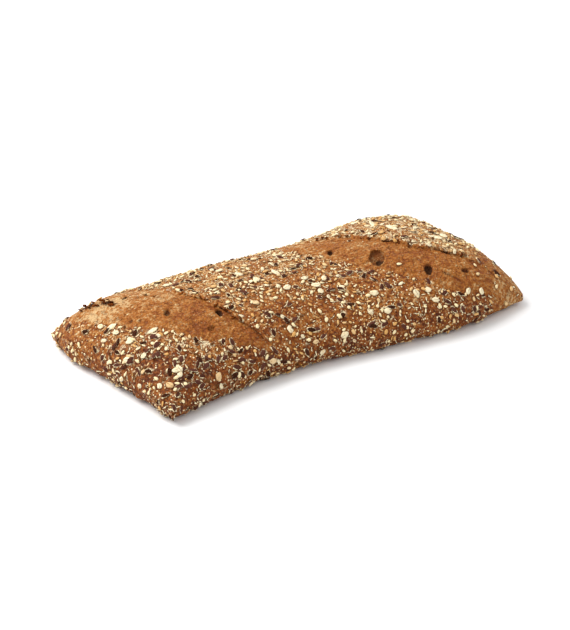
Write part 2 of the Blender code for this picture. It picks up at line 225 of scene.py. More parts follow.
# Those that stand out in the photograph: place, length and width in mm, turn in degrees, paleness
Standout = namedtuple("Standout", "x y length width turn tone")
STANDOUT_ROWS = {
    "oat_flake": (
        (74.7, 23.3, 10.5, 4.0, 60, 1.0),
        (-108.9, -46.5, 5.2, 4.2, 20, 0.9),
        (-12.3, 0.6, 7.4, 4.8, 50, 0.95),
        (1.8, -21.1, 6.2, 5.0, 10, 0.8),
        (14.3, -29.3, 4.8, 4.2, 40, 0.85),
        (-31.1, -43.2, 5.6, 4.8, 60, 0.8),
        (-123.8, -17.8, 5.6, 4.6, 30, 0.9),
        (-117.4, -25.9, 4.4, 4.0, 80, 0.9),
        (-122.5, 14.0, 4.6, 3.6, 10, 1.0),
        (-118.9, 7.4, 7.0, 4.4, 60, 1.0),
        (-119.6, 1.5, 5.4, 3.6, 20, 0.9),
        (-105.1, -15.2, 7.4, 4.0, 70, 1.0),
        (-105.0, -20.5, 4.6, 3.6, 10, 0.9),
        (-118.0, -11.4, 5.6, 4.0, 40, 1.0),
        (-108.3, -49.6, 4.6, 3.6, 60, 0.8),
        (87.7, -56.1, 5.6, 3.6, 30, 0.8),
        (80.2, 11.0, 10.0, 5.0, -20, 1.0),
        (97.9, -11.4, 8.0, 4.6, -30, 1.0),
        (105.4, -7.8, 7.0, 5.0, 30, 1.0),
        (62.8, -49.3, 4.8, 4.4, 0, 0.6),
        (97.1, -57.0, 5.4, 4.2, 50, 0.8),
        (21.1, -48.8, 5.0, 3.6, 110, 1.0),
    ),
    "sesame": (
        (103.7, -41.6, 3.4, 2.2, 30, 0.6),
        (100.6, -48.6, 3.2, 2.2, 0, 0.7),
        (110.3, -54.8, 3.6, 2.2, 20, 0.6),
        (57.5, -27.5, 3.4, 2.4, 10, 0.2),
        (-50.0, -38.0, 3.2, 2.4, 10, 0.2),
    ),
    "linseed": (
        (97.5, -58.0, 4.2, 2.2, 70, 0.6),
        (82.0, -56.5, 5.4, 1.8, -40, 0.9),
    ),
}
STANDOUTS = {
    kind: [Standout(*mm(*row[:4]), *row[4:]) for row in rows]
    for kind, rows in STANDOUT_ROWS.items()
}

# ---- Zones of the crust. A later zone is painted over an earlier one ----
# band: between the slashes. crest: its upper part. end: the near left end. brink: its strip
# along the first slash. back: beyond the second slash. corner: the far left corner. low: low on
# the near side. tip: the near right corner. far: low on the far side. bare_: the two patches
Zones = namedtuple(
    "Zones", "band crest end brink back corner low tip far bare_left bare_right"
)
# The bake is partly painted light: paler on the crest, darker low on the near and far sides, as light
# and shade fall there
BAKE_AND_SHADE = Zones(0.49, 0.36, 0.77, 0.46, 0.32, 0.49, 0.73, 0.29, 0.58, 0.27, 0.42)
FLOUR = Zones(0.14, 0.50, 0.05, 0.65, 0.72, 0.22, 0.08, 0.0, 0.30, 0.0, 0.0)
COVER = {
    "oat_flake": Zones(0.12, 0.26, 0.20, 0.34, 0.80, 0.03, 0.10, 0.0, 0.22, 0, 0),
    "linseed": Zones(0.26, 0.32, 1.00, 0.50, 0.14, 0.05, 0.18, 0.01, 0.12, 0, 0),
    "bran": Zones(0.18, 0.20, 1.00, 0.50, 0.16, 0.07, 0.18, 0.01, 0.15, 0.01, 0.01),
    "chaff": Zones(0.48, 0.75, 1.00, 0.95, 0.60, 0.14, 0.50, 0.04, 0.60, 0, 0),
    "sesame": Zones(0.68, 0.98, 0.38, 0.62, 0.80, 0.14, 0.68, 0.05, 0.50, 0, 0),
    "grit": Zones(0.48, 0.62, 0.40, 0.60, 0.50, 0.30, 0.60, 0.06, 0.50, 0.01, 0.01),
}
CLUMP = 15 * MM  # breadth of the drifts that the seeds lie in
CLUMP_PATTERNS = (20.3, 30.3)  # of the drifts and of the smaller ones in them
PATTERN_STEP = 0.6  # from one kind's pattern to the next one's
CLUMP_COVER = (0.12, 2.1)  # the share of the cover between the drifts, and what a drift adds
# Painted shade: each bare patch is painted darker towards its right end, which faces away from the
# light
BAKE_AND_SHADE_SPREADS = (0.40, 0.08)  # how much darker each bare patch is at its right end than at its left
SMOOTH_TIP = 0.8  # how smooth the near right corner is, where a bare patch is 1

# Where the zones run out: from nothing at the first number to in full at the second
ZONE_EDGE = 1.2 * MM  # beside a slash
CREST_Y = mm(-30, -2)
BRINK_PAST_FOOT = mm(-17, -9)
BRINK_X = mm(-60, -85)
BACK_ALONG = (-0.25, 0.05)
CORNER_MIDDLE = mm(-132, 42)
CORNER_RADIUS = mm(52, 26)
LOW_Z, LOW_T = mm(25, 13), (0, -0.4)
FAR_Z, FAR_T = mm(20, 10), (0, 0.4)
TIP_X, TIP_Y = mm(97, 109), mm(-16, -28)
PATCH_FOOT, PATCH_LIP = mm(-0.5, 0.7), mm(0.3, -0.3)
PATCH_START, PATCH_END = (-0.05, 0.02), (1.02, 0.96)
STRAY_PER_LENGTH = 40 * MM  # an edge that strays this far moves a patch's start by its length

# ---- The crust's mesh ----
SIDE_ROWS = 1.32  # rows across, for the sides, in shares of the width
EVENNESS = (0.7, 0.42)  # of the rows along and across
UNDERCUT_STEPS = 7
SOLE_STEPS = (0.97, 0.9)  # rings of the flat underside, as shares of its size
SIDE_ROUGHNESS = 2.2 * MM
# How far down the undercut side, from 0 to 1, the seeds thin out and the sole's colour comes in
SEEDS_END = (0.45, 0.95)
SOLE_BEGINS = (0.35, 0.95)

# ---- How each piece is scattered: what covers the crust with it, the least and the largest
# length, width and thickness, how high it stands, its lean in radians, how far it keeps from
# earlier pieces, and its seed ----
Plan = namedtuple("Plan", "kind smallest largest lift lean clearance seed")
PLANS = {
    "oat_flakes": Plan("oat_flake", mm(3.0, 2.2, 0.7), mm(4.8, 3.4, 1.2), 0.2 * MM, 0.35, 0, 5),
    "bran_flakes": Plan("bran", mm(2.8, 1.4, 0.6), mm(5.2, 3.2, 1.1), 0.1 * MM, 0.35, 0.2 * MM, 8),
    "torn_crust": Plan("torn", mm(1.8, 1.0, 0.5), mm(4.4, 2.4, 0.9), 0.25 * MM, 0.7, 0, 37),
    "linseeds": Plan("linseed", mm(3.6, 1.9, 0.9), mm(5.8, 3.0, 1.6), 0.2 * MM, 0.35, 0.2 * MM, 13),
    "sesame_seeds": Plan("sesame", mm(2.0, 1.4, 0.9), mm(3.7, 2.5, 1.4), 0.3 * MM, 0.4, 0.1 * MM, 17),
    "chaff": Plan("chaff", mm(1.8, 0.5, 0.4), mm(4.6, 1.3, 0.8), 0.2 * MM, 0.4, 0, 29),
    "grits": Plan("grit", mm(0.5, 0.4, 0.4), mm(1.7, 1.3, 0.9), 0.1 * MM, 0.6, 0.1 * MM, 19),
}
Laid = namedtuple("Laid", "point facing turned size tone")
SHARD_SIZES = ((3.0, 5.8), (1.8, 3.4), (0.5, 0.8))  # length, width and thickness, in mm
STANDOUT_THICKNESS = 1.0 * MM
STANDOUT_LIFT = 0.2  # in mm
SIZE_SEED = 11  # what is added to a piece's seed for the sizes
TONE_SEED = 23  # and for the tones
KEPT_ATTRIBUTES = ("own", "tone", "material_index", "position", "sharp_face", "sharp_edge")
# What the crust is marked with near some pieces, and how near
NEIGHBOURS = {
    "dusted": (1.0 * MM, ("linseeds", "bran_flakes")),
    # The crust is painted darker round the pale seeds and flakes: painted shade where they sit in it
    "nestled": (0.9 * MM, ("sesame_seeds", "oat_flakes", "chaff")),
}

# ---- Finishes ----
MOTTLES = {"Broad Mottle": mm(18, 6), "Fine Mottle": mm(2.8, 1.4)}  # breadths of the mottling
FLOAT = "NodeSocketFloat"
VECTOR = "NodeSocketVector"

# ---- The stage ----
AIM = Vector(mm(-1.3, 7.0, 3.75))  # what the camera looks at
KEY_PLACE = Vector((-0.45, 0.55, 0.95))
KEY_SIZE = 0.8
FLOOR_SIZE = 6.0


def srgb(red, green, blue):
    """A colour given as 0 to 255 a channel, in the linear numbers that Blender's sockets hold."""
    return tuple(((c / 255 + 0.055) / 1.055) ** 2.4 for c in (red, green, blue))


def colour_property(name, description, colour):
    """A setting that holds a colour."""
    return bpy.props.FloatVectorProperty(
        name=name, description=description, subtype="COLOR", size=3, min=0, max=1, default=colour
    )


def length_property(name, description, length):
    """A setting that holds a length, in metres."""
    return bpy.props.FloatProperty(
        name=name, description=description, unit="LENGTH", subtype="DISTANCE", default=length
    )


class CrustSettings(bpy.types.PropertyGroup):
    """Sizes and colours of the crust."""

    cell: length_property("Cell", "Spacing of the crust's mesh", 0.75 * MM)
    overhang: length_property("Overhang", "How far a lip hangs over its patch", 1.5 * MM)
    ragged: length_property("Raggedness", "How far a lip's edge strays", 4.5 * MM)
    grain: length_property("Grain", "Height of the small lumps between the seeds", 0.45 * MM)
    blister: length_property("Blister", "Breadth of the blisters on a bare patch", 2.0 * MM)
    pale: colour_property("Pale", "Crust that baked least", srgb(205, 169, 120))
    golden: colour_property("Golden", "Crust of the middling kind", srgb(166, 102, 41))
    brown: colour_property("Brown", "Well baked crust", srgb(137, 72, 25))
    dark: colour_property("Dark", "Crust that baked longest", srgb(82, 37, 14))
    # Also the colour of the painted shade in the pits and under the lips
    char: colour_property("Char and shade", "Scorched edges, and the painted shade in pits and along lips", srgb(44, 22, 10))
    flour: colour_property("Flour", "Dust of flour and bran", srgb(250, 234, 192))
    sole: colour_property("Sole", "The flat underside", srgb(150, 100, 62))


class ToppingSettings(bpy.types.PropertyGroup):
    """Spacings and colours of the seeds and flakes."""

    flake_gap: length_property("Flake gap", "Least distance between oat flakes", 6.5 * MM)
    linseed_gap: length_property("Linseed gap", "Least distance between linseeds", 4.8 * MM)
    bran_gap: length_property("Bran gap", "Least distance between bran flakes", 5.0 * MM)
    sesame_gap: length_property("Sesame gap", "Least distance between sesame seeds", 3.5 * MM)
    chaff_gap: length_property("Chaff gap", "Least distance between slivers of chaff", 3.2 * MM)
    grit_gap: length_property("Grit gap", "Least distance between grits", 1.9 * MM)
    sesame: colour_property("Sesame", "Pale sesame", srgb(244, 226, 178))
    toasted: colour_property("Toasted", "Toasted sesame and flakes", srgb(214, 162, 92))
    oat: colour_property("Oat", "Oat flakes", srgb(246, 232, 194))
    linseed: colour_property("Linseed", "Linseeds", srgb(88, 53, 43))
    bran: colour_property("Bran", "Bran flakes", srgb(116, 70, 46))
    maize: colour_property("Maize", "Yellow grits", srgb(226, 178, 98))


class StageSettings(bpy.types.PropertyGroup):
    """The camera, the lights and the floor."""

    lens: bpy.props.FloatProperty(
        name="Lens", description="Focal length, in mm", default=118.786
    )
    distance: length_property("Distance", "From the camera to what it looks at", 1.25)
    azimuth: bpy.props.FloatProperty(
        name="Azimuth", description="Where the camera stands round the loaf",
        subtype="ANGLE", default=math.radians(-33.5),
    )
    elevation: bpy.props.FloatProperty(
        name="Elevation", description="How steeply the camera looks down",
        subtype="ANGLE", default=math.radians(27.03),
    )
    key_power: bpy.props.FloatProperty(
        name="Key light", description="Its power", unit="POWER", default=13.8
    )
    sky: bpy.props.FloatProperty(
        name="Sky", description="Strength of the light from all round", default=0.85
    )
    floor: colour_property("Floor", "The floor's colour", (0.9, 0.9, 0.9))


# ---------------------------------------------------------------------------- the loaf's form


def through(values, u):
    """The smooth curve through equally spaced values, read at u from -1 to 1."""
    known = np.asarray(values, float)
    last = len(known) - 1
    place = np.clip((u + 1) / 2 * last, 0, last - 1e-9)
    i = place.astype(int)
    f = place - i
    known = np.concatenate([[2 * known[0] - known[1]], known, [2 * known[-1] - known[-2]]])
    a, b, c, d = known[i], known[i + 1], known[i + 2], known[i + 3]
    return b + 0.5 * f * (c - a + f * (2 * a - 5 * b + 4 * c - d + f * (3 * (b - c) + d - a)))


def ease(low, high, value):
    """0 below low, 1 above high, and a smooth rise between them."""
    share = np.clip((value - low) / (high - low), 0, 1)
    return share * share * (3 - 2 * share)


def uneven(x, y, breadth, slot):
    """Smooth noise from -1 to 1 over the loaf's plan. slot picks one pattern among many."""
    values = np.zeros(np.shape(x))
    for place in np.ndindex(values.shape):
        values[place] = noise.noise(Vector((x[place] / breadth, y[place] / breadth, slot)))
    return values


def lumpy(x, y, rows):
    """Several sizes of unevenness together."""
    return sum(amount * uneven(x, y, breadth, slot) for amount, breadth, slot in rows)


def corner_nearness(s, t, corner):
    """1 at a corner of the square, falling quickly to 0 away from it."""
    return ((1 + corner[0] * s) / 2 * (1 + corner[1] * t) / 2) ** CORNER_TIGHTNESS


def plan_point(s, t):
    """Where a point of the square lies on the loaf's plan."""
    x = LENGTH / 2 * ((1 + s) / 2 * through(RIGHT_END, t) - (1 - s) / 2 * through(LEFT_END, t))
    y = WIDTH / 2 * ((1 + t) / 2 * through(BACK_SIDE, s) - (1 - t) / 2 * through(FRONT_SIDE, s))
    for corner, (rounding, _) in CORNERS.items():
        near = corner_nearness(s, t, corner)
        x = x - corner[0] * rounding * near
        y = y - corner[1] * rounding * near
    return x, y


def rim_height(s, t):
    """The height at which the loaf is widest: lower at the drawn-out corners."""
    height = RIM_HEIGHT + 0 * s
    for corner, (_, droop) in CORNERS.items():
        height = height - droop * corner_nearness(s, t, corner)
    return height


def dome_height(s, t):
    """The height of the smooth dome, without slashes or lumps."""
    full_along, steep_along = ALONG_SHAPE
    full_across, steep_across = ACROSS_SHAPE
    along = np.clip(1 - np.abs(s) ** full_along, 0, 1) ** steep_along
    across = np.clip(1 - np.abs(t) ** full_across, 0, 1) ** steep_across
    rim = rim_height(s, t)
    return rim + (HEIGHT * through(CROWN, s) - rim) * along * across


def ahead_of(slash):
    """The way from a slash's start to its end, and how long it is."""
    length = math.dist(slash.end, slash.start)
    return np.subtract(slash.end, slash.start) / length, length


def slash_place(slash, x, y):
    """Where a point lies by a slash: its share of the way along, and its offset to the far side."""
    ahead, length = ahead_of(slash)
    dx = x - slash.start[0]
    dy = y - slash.start[1]
    return (dx * ahead[0] + dy * ahead[1]) / length, dy * ahead[0] - dx * ahead[1]


def slash_edges(slash, x, y):
    """The share of the way along a slash, and how far a point lies past its foot and its lip."""
    along, offset = slash_place(slash, x, y)
    u = 2 * along - 1
    return along, offset - through(slash.foot, u), offset - through(slash.lip, u)


def slash_ends(along):
    """1 along a slash, and 0 past its two ends."""
    return ease(*SLASH_FADE[0], along) * ease(*SLASH_FADE[1], along)


def slash_relief(slash, x, y, stray=0.0):
    """What a slash adds to the height: a lip, a dip in front of it, and a swollen patch."""
    along, past_foot, past_lip = slash_edges(slash, x, y)
    in_patch = np.clip(past_foot / (past_foot - past_lip), 0, 1)
    past_lip = past_lip + stray
    step = through(slash.step, 2 * along - 1) * LIP_SHARE
    rim = RIM_SHARE * step * np.exp(-np.maximum(past_lip, 0) / RIM_REACH)
    dip = (1 - RIM_SHARE) * step * np.exp(np.minimum(past_lip, 0) / DIP_REACH)
    beyond = ease(-STEP_WIDTH / 2, STEP_WIDTH / 2, past_lip)
    swell = PATCH_SWELL * np.sin(math.pi * in_patch)
    return slash_ends(along) * (beyond * rim - (1 - beyond) * dip + swell)


def torn_place(tear, x, y):
    """Where a point lies by a torn edge: its share of the way along, and past the ragged edge."""
    along, offset = slash_place(tear, x, y)
    return along, offset + TEAR_RAGGED * lumpy(x, y, TEAR_STRAY)


def tear_relief(tear, x, y):
    """What a torn edge adds to the height: a step up that falls away behind it."""
    along, past_edge = torn_place(tear, x, y)
    edge = ease(-TEAR_WIDTH / 2, TEAR_WIDTH / 2, past_edge)
    edge = edge * np.exp(-np.maximum(past_edge, 0) / TEAR_REACH)
    return tear.height * edge * ease(-0.1, 0.3, along) * ease(1.1, 0.7, along)


def tear_scorch(tear, x, y):
    """How scorched a torn edge is: black along its crest, in stretches."""
    along, past_edge = torn_place(tear, x, y)
    crest = ease(-0.9 * MM, 0.1 * MM, past_edge) * ease(2.4 * MM, 0.9 * MM, past_edge)
    stretches = ease(-0.3, 0.1, uneven(x, y, *TEAR_STRETCHES))
    return crest * stretches * ease(-0.15, 0.05, along) * ease(1.15, 0.95, along)


def inland(s, t):
    """1 over most of the loaf, and 0 at its rim, where nothing may shift it."""
    return (1 - np.abs(s) ** 10) * (1 - np.abs(t) ** 10)


def relief(x, y, stray=0.0):
    """All that stands above or sinks below the smooth dome."""
    slashes = sum(slash_relief(slash, x, y, stray) for slash in SLASHES)
    return lumpy(x, y, SWELLING) + slashes + sum(tear_relief(tear, x, y) for tear in TEARS)


def top_point(s, t):
    """A point of the crust's upper side: x, y and z."""
    x, y = plan_point(s, t)
    return x, y, dome_height(s, t) + inland(s, t) * relief(x, y)


# ---------------------------------------------------------------------------- the crust's mesh


def spaced(count, evenness):
    """Stations from -1 to 1, closer together towards the rim, where the dome is steep."""
    even = np.linspace(-1, 1, count + 1)
    return evenness * even + (1 - evenness) * np.sin(even * math.pi / 2)


def gather(x, y, share):
    """Draw the mesh's rows towards the lips, so that it holds a steep step."""
    for slash in SLASHES:
        along, _, past_lip = slash_edges(slash, x, y)
        far = np.clip(np.abs(past_lip) / GATHER_REACH, 0, 1)
        drawn = np.sign(past_lip) * GATHER_REACH * far**GATHER_POWER - np.clip(
            past_lip, -GATHER_REACH, GATHER_REACH
        )
        drawn = drawn * share * ease(0, 0.1, along) * ease(1, 0.9, along)
        ahead, _ = ahead_of(slash)
        x = x - ahead[1] * drawn
        y = y + ahead[0] * drawn
    return x, y


def hang_lips(x, y, stray, share, overhang):
    """Push the top of each lip out over its patch, and tuck the patch in under it."""
    for slash in SLASHES:
        along, _, past_lip = slash_edges(slash, x, y)
        past_lip = past_lip + stray
        out = np.where(past_lip > 0, np.exp(-past_lip / (2 * overhang)), 0)
        tuck = np.where(past_lip > 0, 0, np.exp(past_lip / overhang))
        step = through(slash.step, 2 * along - 1) / (3 * MM)
        loose = ease(-0.1, 0.3, uneven(x, y, *LOOSE_STRETCHES))
        shift = (0.7 * tuck - out) * overhang * share * loose * slash_ends(along) * np.clip(step, 0, 1)
        ahead, _ = ahead_of(slash)
        x = x - ahead[1] * shift
        y = y + ahead[0] * shift
    return x, y


def lip_scorch_and_shadow(slash, x, y, stray):
    """How dark a lip's edge is: scorch and painted shadow, in spots, and only where it stands high."""
    along, _, past_lip = slash_edges(slash, x, y)
    edge = np.exp(-np.abs(past_lip + stray) / LIP_BREADTH)
    spots = 0.2 + 0.8 * ease(0.0, 0.35, uneven(x, y, *SCORCH_AND_SHADOW_SPOTS))
    high = ease(1.0 * MM, 2.8 * MM, through(slash.step, 2 * along - 1))
    return LIP_SCORCH_AND_SHADOW * edge * spots * high * slash_ends(along)


def lip_tatters(slash, x, y, stray):
    """Where scraps of torn crust hang on a lip, in stretches."""
    along, _, past_lip = slash_edges(slash, x, y)
    past_lip = past_lip + stray
    edge = ease(-0.8 * MM, 0, past_lip) * ease(1.6 * MM, 0.6 * MM, past_lip)
    stretches = ease(-0.35, 0.1, uneven(x, y, *TATTER_STRETCHES))
    high = ease(0.8 * MM, 2.2 * MM, through(slash.step, 2 * along - 1))
    return edge * stretches * (0.3 + 0.7 * high) * slash_ends(along)


def pit_place(pit, x, y):
    """How far a point lies from a pit's middle: 1 at its mouth, and its offset in metres."""
    turn = math.radians(pit.turn)
    dx = x - pit.x
    dy = y - pit.y
    along = (dx * math.cos(turn) + dy * math.sin(turn)) / (pit.length / 2)
    across = (dy * math.cos(turn) - dx * math.sin(turn)) / (pit.width / 2)
    return np.hypot(along, across), dx, dy


def sink_pits(x, y, z):
    """Sink the burst bubbles into the crust, and give the painted shade inside each, by how far in a
    point lies.
    """
    inside = np.zeros(np.shape(x))
    wobble = lumpy(x, y, [PIT_WOBBLE])
    for pit in PITS:
        radius, dx, dy = pit_place(pit, x, y)
        radius = radius + wobble
        bowl = np.sqrt(np.clip(1 - radius**2, 0, 1))
        bulge = PIT_BULGE * np.clip(bowl * (1 - bowl) * 4, 0, 1)
        x = x + dx * bulge
        y = y + dy * bulge
        collar = PIT_COLLAR * np.exp(-(((radius - 1.12) / 0.16) ** 2))
        z = z - pit.depth * bowl + collar * min(1, pit.depth / (2 * MM))
        # Painted shade: each pit's own darkness, and darker still towards its walls
        wall_shade = pit.dark + (1 - pit.dark) * 0.6 * pit.dark * ease(0.5, 0.85, radius)
        inside = np.maximum(inside, ease(1.04, 0.86, radius) * wall_shade)
    for middle_x, middle_y, breadth, depth in HOLLOWS:
        far = np.hypot(x - middle_x, y - middle_y) / (breadth / 2)
        z = z - depth * np.exp(-(far**2))
    return x, y, z, inside


def zone_masks(x, y, z, t):
    """How much of each zone, after the first, covers each point."""
    stray = lumpy(x, y, ZONE_STRAY)
    edges = [slash_edges(slash, x, y) for slash in SLASHES]
    (_, foot_1, _), (along_2, _, lip_2) = edges
    crest = ease(*CREST_Y, y)
    end = ease(ZONE_EDGE, -ZONE_EDGE, foot_1)
    brink = end * ease(*BRINK_PAST_FOOT, foot_1) * ease(*BRINK_X, x)
    back = ease(-ZONE_EDGE, ZONE_EDGE, lip_2) * ease(*BACK_ALONG, along_2)
    corner = ease(*CORNER_RADIUS, np.hypot(x - CORNER_MIDDLE[0], y - CORNER_MIDDLE[1]))
    low = ease(*LOW_Z, z) * ease(*LOW_T, t) * (1 - end)
    tip = ease(*TIP_X, x) * ease(*TIP_Y, y)
    far = ease(*FAR_Z, z) * ease(*FAR_T, t)
    bare = []
    for along, foot, lip in edges:
        ends = ease(*PATCH_START, along + stray / STRAY_PER_LENGTH) * ease(*PATCH_END, along)
        bare.append(ease(*PATCH_FOOT, foot + stray) * ease(*PATCH_LIP, lip) * ends)
    return Zones(None, crest, end, brink, back, corner, low, tip, far, *bare)


def painted(zones, masks):
    """A value over the crust, from its value in each zone."""
    value = np.full(np.shape(masks.crest), float(zones.band))
    for amount, mask in zip(zones[1:], masks[1:]):
        value = value + (amount - value) * mask
    return value


def ring_order(rows, columns):
    """The places round the edge of a grid, in order."""
    around = [(i, 0) for i in range(rows)]
    around += [(rows, j) for j in range(columns)]
    around += [(i, columns) for i in range(rows, 0, -1)]
    around += [(0, j) for j in range(columns, 0, -1)]
    return tuple(np.array(around).T)


def crust_grid(settings):
    """The upper side: points, the way the plain form faces, and every value painted on it."""
    s, t = np.meshgrid(
        spaced(round(LENGTH / settings.cell), EVENNESS[0]),
        spaced(round(WIDTH * SIDE_ROWS / settings.cell), EVENNESS[1]),
        indexing="ij",
    )
    x, y = plan_point(s, t)
    free = inland(s, t)
    moved_x, moved_y = gather(x, y, free)
    # The rows move on the dome: its height is read where they went
    moved_s = s + (moved_x - x) / (np.gradient(x, axis=0) / np.gradient(s, axis=0))
    moved_t = t + (moved_y - y) / (np.gradient(y, axis=1) / np.gradient(t, axis=1))
    x, y = moved_x, moved_y
    stray = settings.ragged * lumpy(x, y, LIP_STRAY)
    dome = dome_height(np.clip(moved_s, -1, 1), np.clip(moved_t, -1, 1))
    plain = np.stack([x, y, dome + free * relief(x, y)], axis=-1)
    facing = np.cross(np.gradient(plain, axis=0), np.gradient(plain, axis=1))
    facing = facing / np.linalg.norm(facing, axis=-1, keepdims=True)

    masks = zone_masks(x, y, dome, t)
    bare = np.clip(masks.bare_right + masks.bare_left + SMOOTH_TIP * masks.tip, 0, 1)
    z = dome + free * relief(x, y, stray)
    # Along the lips: scorch, and painted shadow where they stand high; along the tear: scorch
    scorches_and_shadows = [lip_scorch_and_shadow(slash, x, y, stray) for slash in SLASHES]
    scorches_and_shadows += [tear_scorch(tear, x, y) for tear in TEARS]
    lip = np.maximum.reduce(scorches_and_shadows)
    x, y = hang_lips(x, y, stray, free, settings.overhang)
    x, y, z, inside = sink_pits(x, y, z)
    grain = lumpy(x, y, GRAIN) * (1 - PATCH_CALM * bare) * settings.grain
    grain = grain + PATCH_GRAIN[0] * bare * uneven(x, y, *PATCH_GRAIN[1:])
    points = np.stack([x, y, z], axis=-1) + facing * (grain * free)[..., None]

    # The bake carries painted light and shade from its zones and along each bare patch
    bake = painted(BAKE_AND_SHADE, masks)
    for slash, patch, spread in zip(SLASHES, (masks.bare_left, masks.bare_right), BAKE_AND_SHADE_SPREADS):
        share = ease(-0.05, 0.85, slash_place(slash, x, y)[0])
        bake = bake + spread * (share - 0.4) * patch
    tatters = np.maximum.reduce([lip_tatters(slash, x, y, stray) for slash in SLASHES])
    for pit in PITS:
        tatters = tatters * ease(1.0, 1.7, pit_place(pit, x, y)[0])
    values = {
        "torn": tatters,
        "bake": bake,
        "flour": painted(FLOUR, masks),
        # Painted shade in the pits, and scorch and painted shadow along the lips
        "char": np.maximum(inside, lip),
        "bare": bare,
        "under": 0 * bare,
        "dusted": 0 * bare,
        "nestled": 0 * bare,
    }
    for number, (kind, zones) in enumerate(COVER.items()):
        broad, fine = (pattern + PATTERN_STEP * number for pattern in CLUMP_PATTERNS)
        drift = ease(-0.35, 0.35, uneven(x, y, CLUMP, broad))
        drift = drift * ease(-0.6, 0.5, uneven(x, y, CLUMP / 3, fine))
        values[kind] = painted(zones, masks) * (CLUMP_COVER[0] + CLUMP_COVER[1] * drift)
    return s, t, points, facing, values


def build_crust(settings):
    """The closed crust as a mesh, with its values as attributes."""
    s, t, points, facing, values = crust_grid(settings)
    rows, columns = points.shape[0] - 1, points.shape[1] - 1
    number = np.arange((rows + 1) * (columns + 1)).reshape(rows + 1, columns + 1)
    quads = np.stack([number[:-1, :-1], number[1:, :-1], number[1:, 1:], number[:-1, 1:]], -1)
    faces = quads.reshape(-1, 4).tolist()
    all_points = [points.reshape(-1, 3)]
    all_facing = [facing.reshape(-1, 3)]
    all_values = {name: [value.reshape(-1)] for name, value in values.items()}

    ring = ring_order(rows, columns)
    rim_s, rim_t = s[ring], t[ring]
    upper = number[ring]
    count = len(rim_s)
    outward = np.zeros((count, 3))
    rim = np.roll(points[ring], -1, axis=0) - np.roll(points[ring], 1, axis=0)
    outward[:, 0], outward[:, 1] = rim[:, 1], -rim[:, 0]
    outward /= np.linalg.norm(outward, axis=1, keepdims=True)
    levels = [(step / UNDERCUT_STEPS, 1.0) for step in range(1, UNDERCUT_STEPS + 1)]
    levels += [(1.0, share) for share in SOLE_STEPS]
    start = number.size
    for turn_share, shrink in levels:
        turn = math.pi / 2 * turn_share
        inset = UNDERCUT * (1 - math.cos(turn))
        ring_x, ring_y = plan_point(
            rim_s * (1 - 2 * inset / LENGTH) * shrink, rim_t * (1 - 2 * inset / WIDTH) * shrink
        )
        ring_z = rim_height(rim_s, rim_t) * (1 - math.sin(turn))
        if turn_share == 1:
            ring_z = 0 * ring_z
        else:
            roughness = SIDE_ROUGHNESS * math.sin(math.pi * turn_share)
            shape = lumpy(ring_x, ring_y, SIDE_LUMPS)
            ring_x = ring_x + roughness * shape * outward[:, 0]
            ring_y = ring_y + roughness * shape * outward[:, 1]
        lower = np.arange(start, start + count)
        start += count
        after = np.roll(np.arange(count), -1)
        faces += np.stack([upper[after], upper, lower, lower[after]], -1).tolist()
        all_points.append(np.stack([ring_x, ring_y, ring_z], -1))
        all_facing.append(outward * math.cos(turn) - np.array([0, 0, math.sin(turn)]))
        fade = 1 - ease(*SEEDS_END, np.full(count, turn_share))
        for name, parts in all_values.items():
            edge_value = values[name][ring]
            if name == "under":
                parts.append(ease(*SOLE_BEGINS, np.full(count, turn_share)))
            elif name in COVER:
                parts.append(edge_value * fade)
            else:
                parts.append(edge_value)
        upper = lower
    faces.append(upper[::-1].tolist())

    mesh = bpy.data.meshes.new("crust")
    mesh.from_pydata(np.concatenate(all_points).tolist(), [], faces)
    for name, parts in all_values.items():
        attribute = mesh.attributes.new(name, "FLOAT", "POINT")
        attribute.data.foreach_set("value", np.clip(np.concatenate(parts), 0, 1).astype(np.float32))
    attribute = mesh.attributes.new("facing", "FLOAT_VECTOR", "POINT")
    attribute.data.foreach_set("vector", np.concatenate(all_facing).astype(np.float32).ravel())
    mesh.shade_smooth()
    return mesh


# ---------------------------------------------------------------------------- node helpers


def socket(sockets, key):
    """A socket by its place, or by its name among those in use."""
    if isinstance(key, int):
        return sockets[key]
    return next(found for found in sockets if found.name == key and found.enabled)


def put(tree, kind, inputs=None, **settings):
    """Add a node to a tree. Each input is a value, or a socket that is linked to it."""
    node = tree.nodes.new(kind)
    for name, value in settings.items():
        setattr(node, name, value)
    for key, value in (inputs or {}).items():
        target = socket(node.inputs, key)
        if isinstance(value, bpy.types.NodeSocket):
            tree.links.new(value, target)
        else:
            target.default_value = value
    return node


def new_group(name, kind, inputs, outputs):
    """An empty node group with named inputs and outputs, and the nodes that hold them.

    inputs and outputs are (name, socket type, default) or (name, socket type).
    """
    tree = bpy.data.node_groups.new(name, kind)
    for direction, sockets in (("INPUT", inputs), ("OUTPUT", outputs)):
        for label, socket_type, *default in sockets:
            made = tree.interface.new_socket(label, in_out=direction, socket_type=socket_type)
            if default:
                made.default_value = default[0]
    return tree, tree.nodes.new("NodeGroupInput").outputs, tree.nodes.new("NodeGroupOutput").inputs


def calculate(tree, operation, *values):
    """A Math node's result."""
    return put(tree, "ShaderNodeMath", dict(enumerate(values)), operation=operation).outputs[0]


def times(tree, first, *others):
    """The product of all the values."""
    for other in others:
        first = calculate(tree, "MULTIPLY", first, other)
    return first


def plus(tree, first, *others):
    """The sum of all the values."""
    for other in others:
        first = calculate(tree, "ADD", first, other)
    return first


def remap(tree, value, low, high, to_low=0.0, to_high=1.0):
    """Stretch the range from low to high to another, smoothly and held at its ends."""
    node = put(
        tree,
        "ShaderNodeMapRange",
        {"Value": value, "From Min": low, "From Max": high, "To Min": to_low, "To Max": to_high},
        interpolation_type="SMOOTHSTEP",
    )
    return node.outputs["Result"]


